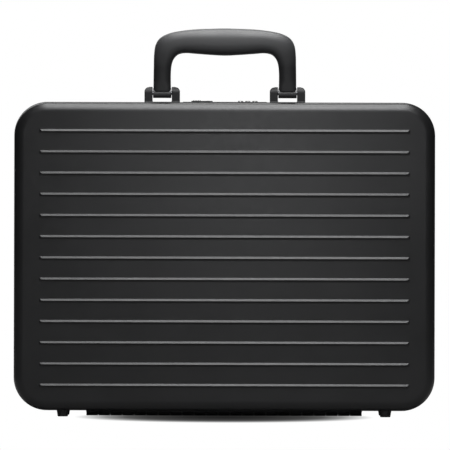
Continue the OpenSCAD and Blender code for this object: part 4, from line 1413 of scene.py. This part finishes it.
# ---------------------------------------------------------------- CAD nodes kept as they are
STEEL_NODES = ["hinge_pin", "base_foot_screws", "lid_foot_screws", "bracket_screws",
               "bracket_backing_plates", "dial_shaft", "detent_spring", "latch_guides",
               "return_spring", "latch_bar"]
STEEL_NODES += [f"{stem}_{word}" for word in ("left", "right") for stem in (
    "striker", "stay_plate_base", "stay_plate_lid", "stay_lower_arm", "stay_upper_arm")]
for finish, names in (
        (STEEL, STEEL_NODES),
        (PLASTIC, ["lock_housing", "lock_cover"]),
        (BRASS, ["dial_cam_1", "dial_cam_2", "dial_cam_3"]),
        (FRAME, ["stay_rivets_base", "stay_rivets_lid"])):
    for name in names:
        set_finish(CAD_NODES[name].data, finish)

# ---------------------------------------------------------------- stage
FLOOR_HALF = 40000
FLOOR_COLOUR = (0.86, 0.86, 0.86)
FLOOR_LIGHT = 1.0               # brightness of the open floor and of the backdrop
FLOOR_BOUNCE = 0.24             # floor reflectance for every ray but the camera's
# Painted contact shadow, ramp stops: (ambient occlusion, brightness) seen from above
PAINTED_CONTACT_SHADOW_STOPS = [(0.0, 0.01), (0.3, 0.05), (0.45, 0.2), (0.6, 0.55), (0.8, 0.9),
                 (0.95, FLOOR_LIGHT)]
# Painted shadow pool, ramp stops: (0.8 of the distance in pool radii, brightness) seen at a grazing
# angle
PAINTED_SHADOW_POOL_STOPS = [(0.0, 0.015), (0.22, 0.024), (0.44, 0.051), (0.55, 0.098), (0.66, 0.287),
              (0.77, 0.70), (0.83, FLOOR_LIGHT)]
PAINTED_SHADOW_POOL_CENTRE = (0, -0.05, 0)             # metres
PAINTED_SHADOW_POOL_RADII = (0.147, 0.225, 1000)       # metres; Z is large so that it has no effect


def floor_material():
    """Pale floor: a painted contact shadow from above, a painted shadow pool by the case at grazing
    angles.
    """
    material = bpy.data.materials.new("floor_pale")
    g = Graph(material)
    mottle = g.noise(g.object_coords(), scale=3.0, detail=3, roughness=0.5)
    colour = g.mix(mottle, tone(FLOOR_COLOUR, 0.99), FLOOR_COLOUR)
    diffuse = g.node("BsdfDiffuse", {0: colour}).outputs[0]
    # the occlusion is ramped into the floor's emission below as a painted contact shadow
    occlusion = g.node("AmbientOcclusion", {"Distance": 0.16}, samples=24).outputs["AO"]
    painted_contact_shadow = g.ramp(occlusion, PAINTED_CONTACT_SHADOW_STOPS)
    geometry = g.node("NewGeometry").outputs
    # painted shadow pool: an ellipse on the floor in front of the case, darkest at its middle
    in_painted_shadow_pool = g.node("Mapping", {"Location": PAINTED_SHADOW_POOL_CENTRE, "Scale": PAINTED_SHADOW_POOL_RADII,
                                 "Vector": geometry["Position"]}, vector_type="TEXTURE")
    painted_shadow_pool_distance = g.length(in_painted_shadow_pool.outputs[0])
    painted_shadow_pool = g.ramp(g.math("MULTIPLY", painted_shadow_pool_distance, 0.8), PAINTED_SHADOW_POOL_STOPS)
    facing = g.math("ABSOLUTE", g.dot(geometry["Incoming"], geometry["Normal"]), 0.0)
    grazing = g.remap(facing, to=(1.0, 0.0), span=(0.05, 0.14))
    # emitted floor colour: white, with the painted contact shadow and the painted shadow pool
    floor_emission_with_painted_shadows = g.node("Emission", {0: g.mix(grazing, painted_contact_shadow, painted_shadow_pool)}).outputs[0]
    far = g.remap(g.length(geometry["Position"]), to=(0.85, 1.0), span=(0.3, 1.2))
    seen = g.mix_shader(g.math("MAXIMUM", grazing, far), diffuse, floor_emission_with_painted_shadows)
    bounce = g.node("BsdfDiffuse", {0: (FLOOR_BOUNCE, FLOOR_BOUNCE, FLOOR_BOUNCE, 1)})
    is_camera = g.node("LightPath").outputs["Is Camera Ray"]
    g.node("OutputMaterial", {0: g.mix_shader(is_camera, bounce.outputs[0], seen)})
    return material


def build_floor():
    corners = [(x * FLOOR_HALF, y * FLOOR_HALF, 0) for x, y in ((-1, -1), (1, -1), (1, 1), (-1, 1))]
    floor = link("floor", new_mesh("floor", corners, [(0, 1, 2, 3)]))
    floor.data.materials.append(floor_material())
    # the ground stays under the outer top edge of the lid when it is swung down
    tip = bpy.data.objects.new("lid_tip", None)
    tip.location = (0, -(HALF_DEPTH + BEAD_HEIGHT + 0.4) * MM, (TOP_Z - 2) * MM)
    bpy.context.scene.collection.objects.link(tip)
    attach(tip, "lid")
    low = link("lid_low", None)
    low.constraints.new("COPY_LOCATION").target = tip
    limit = low.constraints.new("LIMIT_LOCATION")
    limit.use_max_z = True
    limit.max_z = 0.0
    limit.use_max_x = limit.use_min_x = limit.use_max_y = limit.use_min_y = True
    follow = floor.constraints.new("COPY_LOCATION")
    follow.target = low
    follow.use_x = follow.use_y = False


def build_world():
    """White backdrop for the camera, a faint cool fill for everything else."""
    world = bpy.data.worlds.new("studio")
    bpy.context.scene.world = world
    g = Graph(world)
    backdrop = g.node("Background", {0: (1, 1, 1, 1), 1: FLOOR_LIGHT}).outputs[0]
    fill = g.node("Background", {0: (0.95, 0.97, 1.0, 1), 1: 0.03}).outputs[0]
    is_camera = g.node("LightPath").outputs["Is Camera Ray"]
    g.node("OutputWorld", {0: g.mix_shader(is_camera, fill, backdrop)})


def area_light(name, location, target, size, power, colour=(1, 1, 1)):
    """Rectangular light; places and size in metres, power in watts."""
    light = bpy.data.lights.new(name, "AREA")
    light.energy = power
    light.color = colour
    light.shape = "RECTANGLE"
    light.size, light.size_y = size
    obj = link(name, light)
    obj.location = location
    aim = Vector(target) - Vector(location)
    obj.rotation_euler = aim.to_track_quat("-Z", "Y").to_euler()


COOL_WHITE = (0.985, 0.99, 1.0)
build_floor()
build_world()
area_light("top_box", location=(0.05, -0.09, 1.5), target=(0.05, -0.04, 0.2),
           size=(0.9, 1.2), power=29.5)
area_light("front_top_box", location=(0.09, -0.92, 1.35), target=(0.03, 0, 0.25),
           size=(0.55, 0.9), power=19.2, colour=COOL_WHITE)
area_light("front_strip", location=(0.03, -0.82, 0.58), target=(0.025, 0, 0.28),
           size=(0.18, 0.84), power=2.15, colour=COOL_WHITE)
area_light("back_soft", location=(-0.4, 2.2, 1.4), target=(0, 0, 0.2), size=(1.6, 1.6), power=14)

# ---------------------------------------------------------------- camera
CAMERA_DISTANCE = 8.0           # metres, from the front of the frame band
VIEW_WIDTH = 459.6975           # seen across the picture at that distance
CAMERA_DROP = 125.3442          # below the case top
SENSOR_WIDTH = 36

camera_data = bpy.data.cameras.new("camera")
camera_data.sensor_width = SENSOR_WIDTH
camera_data.lens = SENSOR_WIDTH * CAMERA_DISTANCE / (VIEW_WIDTH * MM)
camera_data.clip_end = 200
camera = link("camera", camera_data)
camera.location = (0.0005, (PART_Y - FRAME_EDGE_DY) * MM - CAMERA_DISTANCE,
                   (TOP_Z - CAMERA_DROP) * MM)
camera.rotation_euler = (math.pi / 2, math.radians(-0.15), 0)
bpy.context.scene.camera = camera

view = bpy.context.scene.view_settings
view.view_transform = "Standard"
view.look = "None"
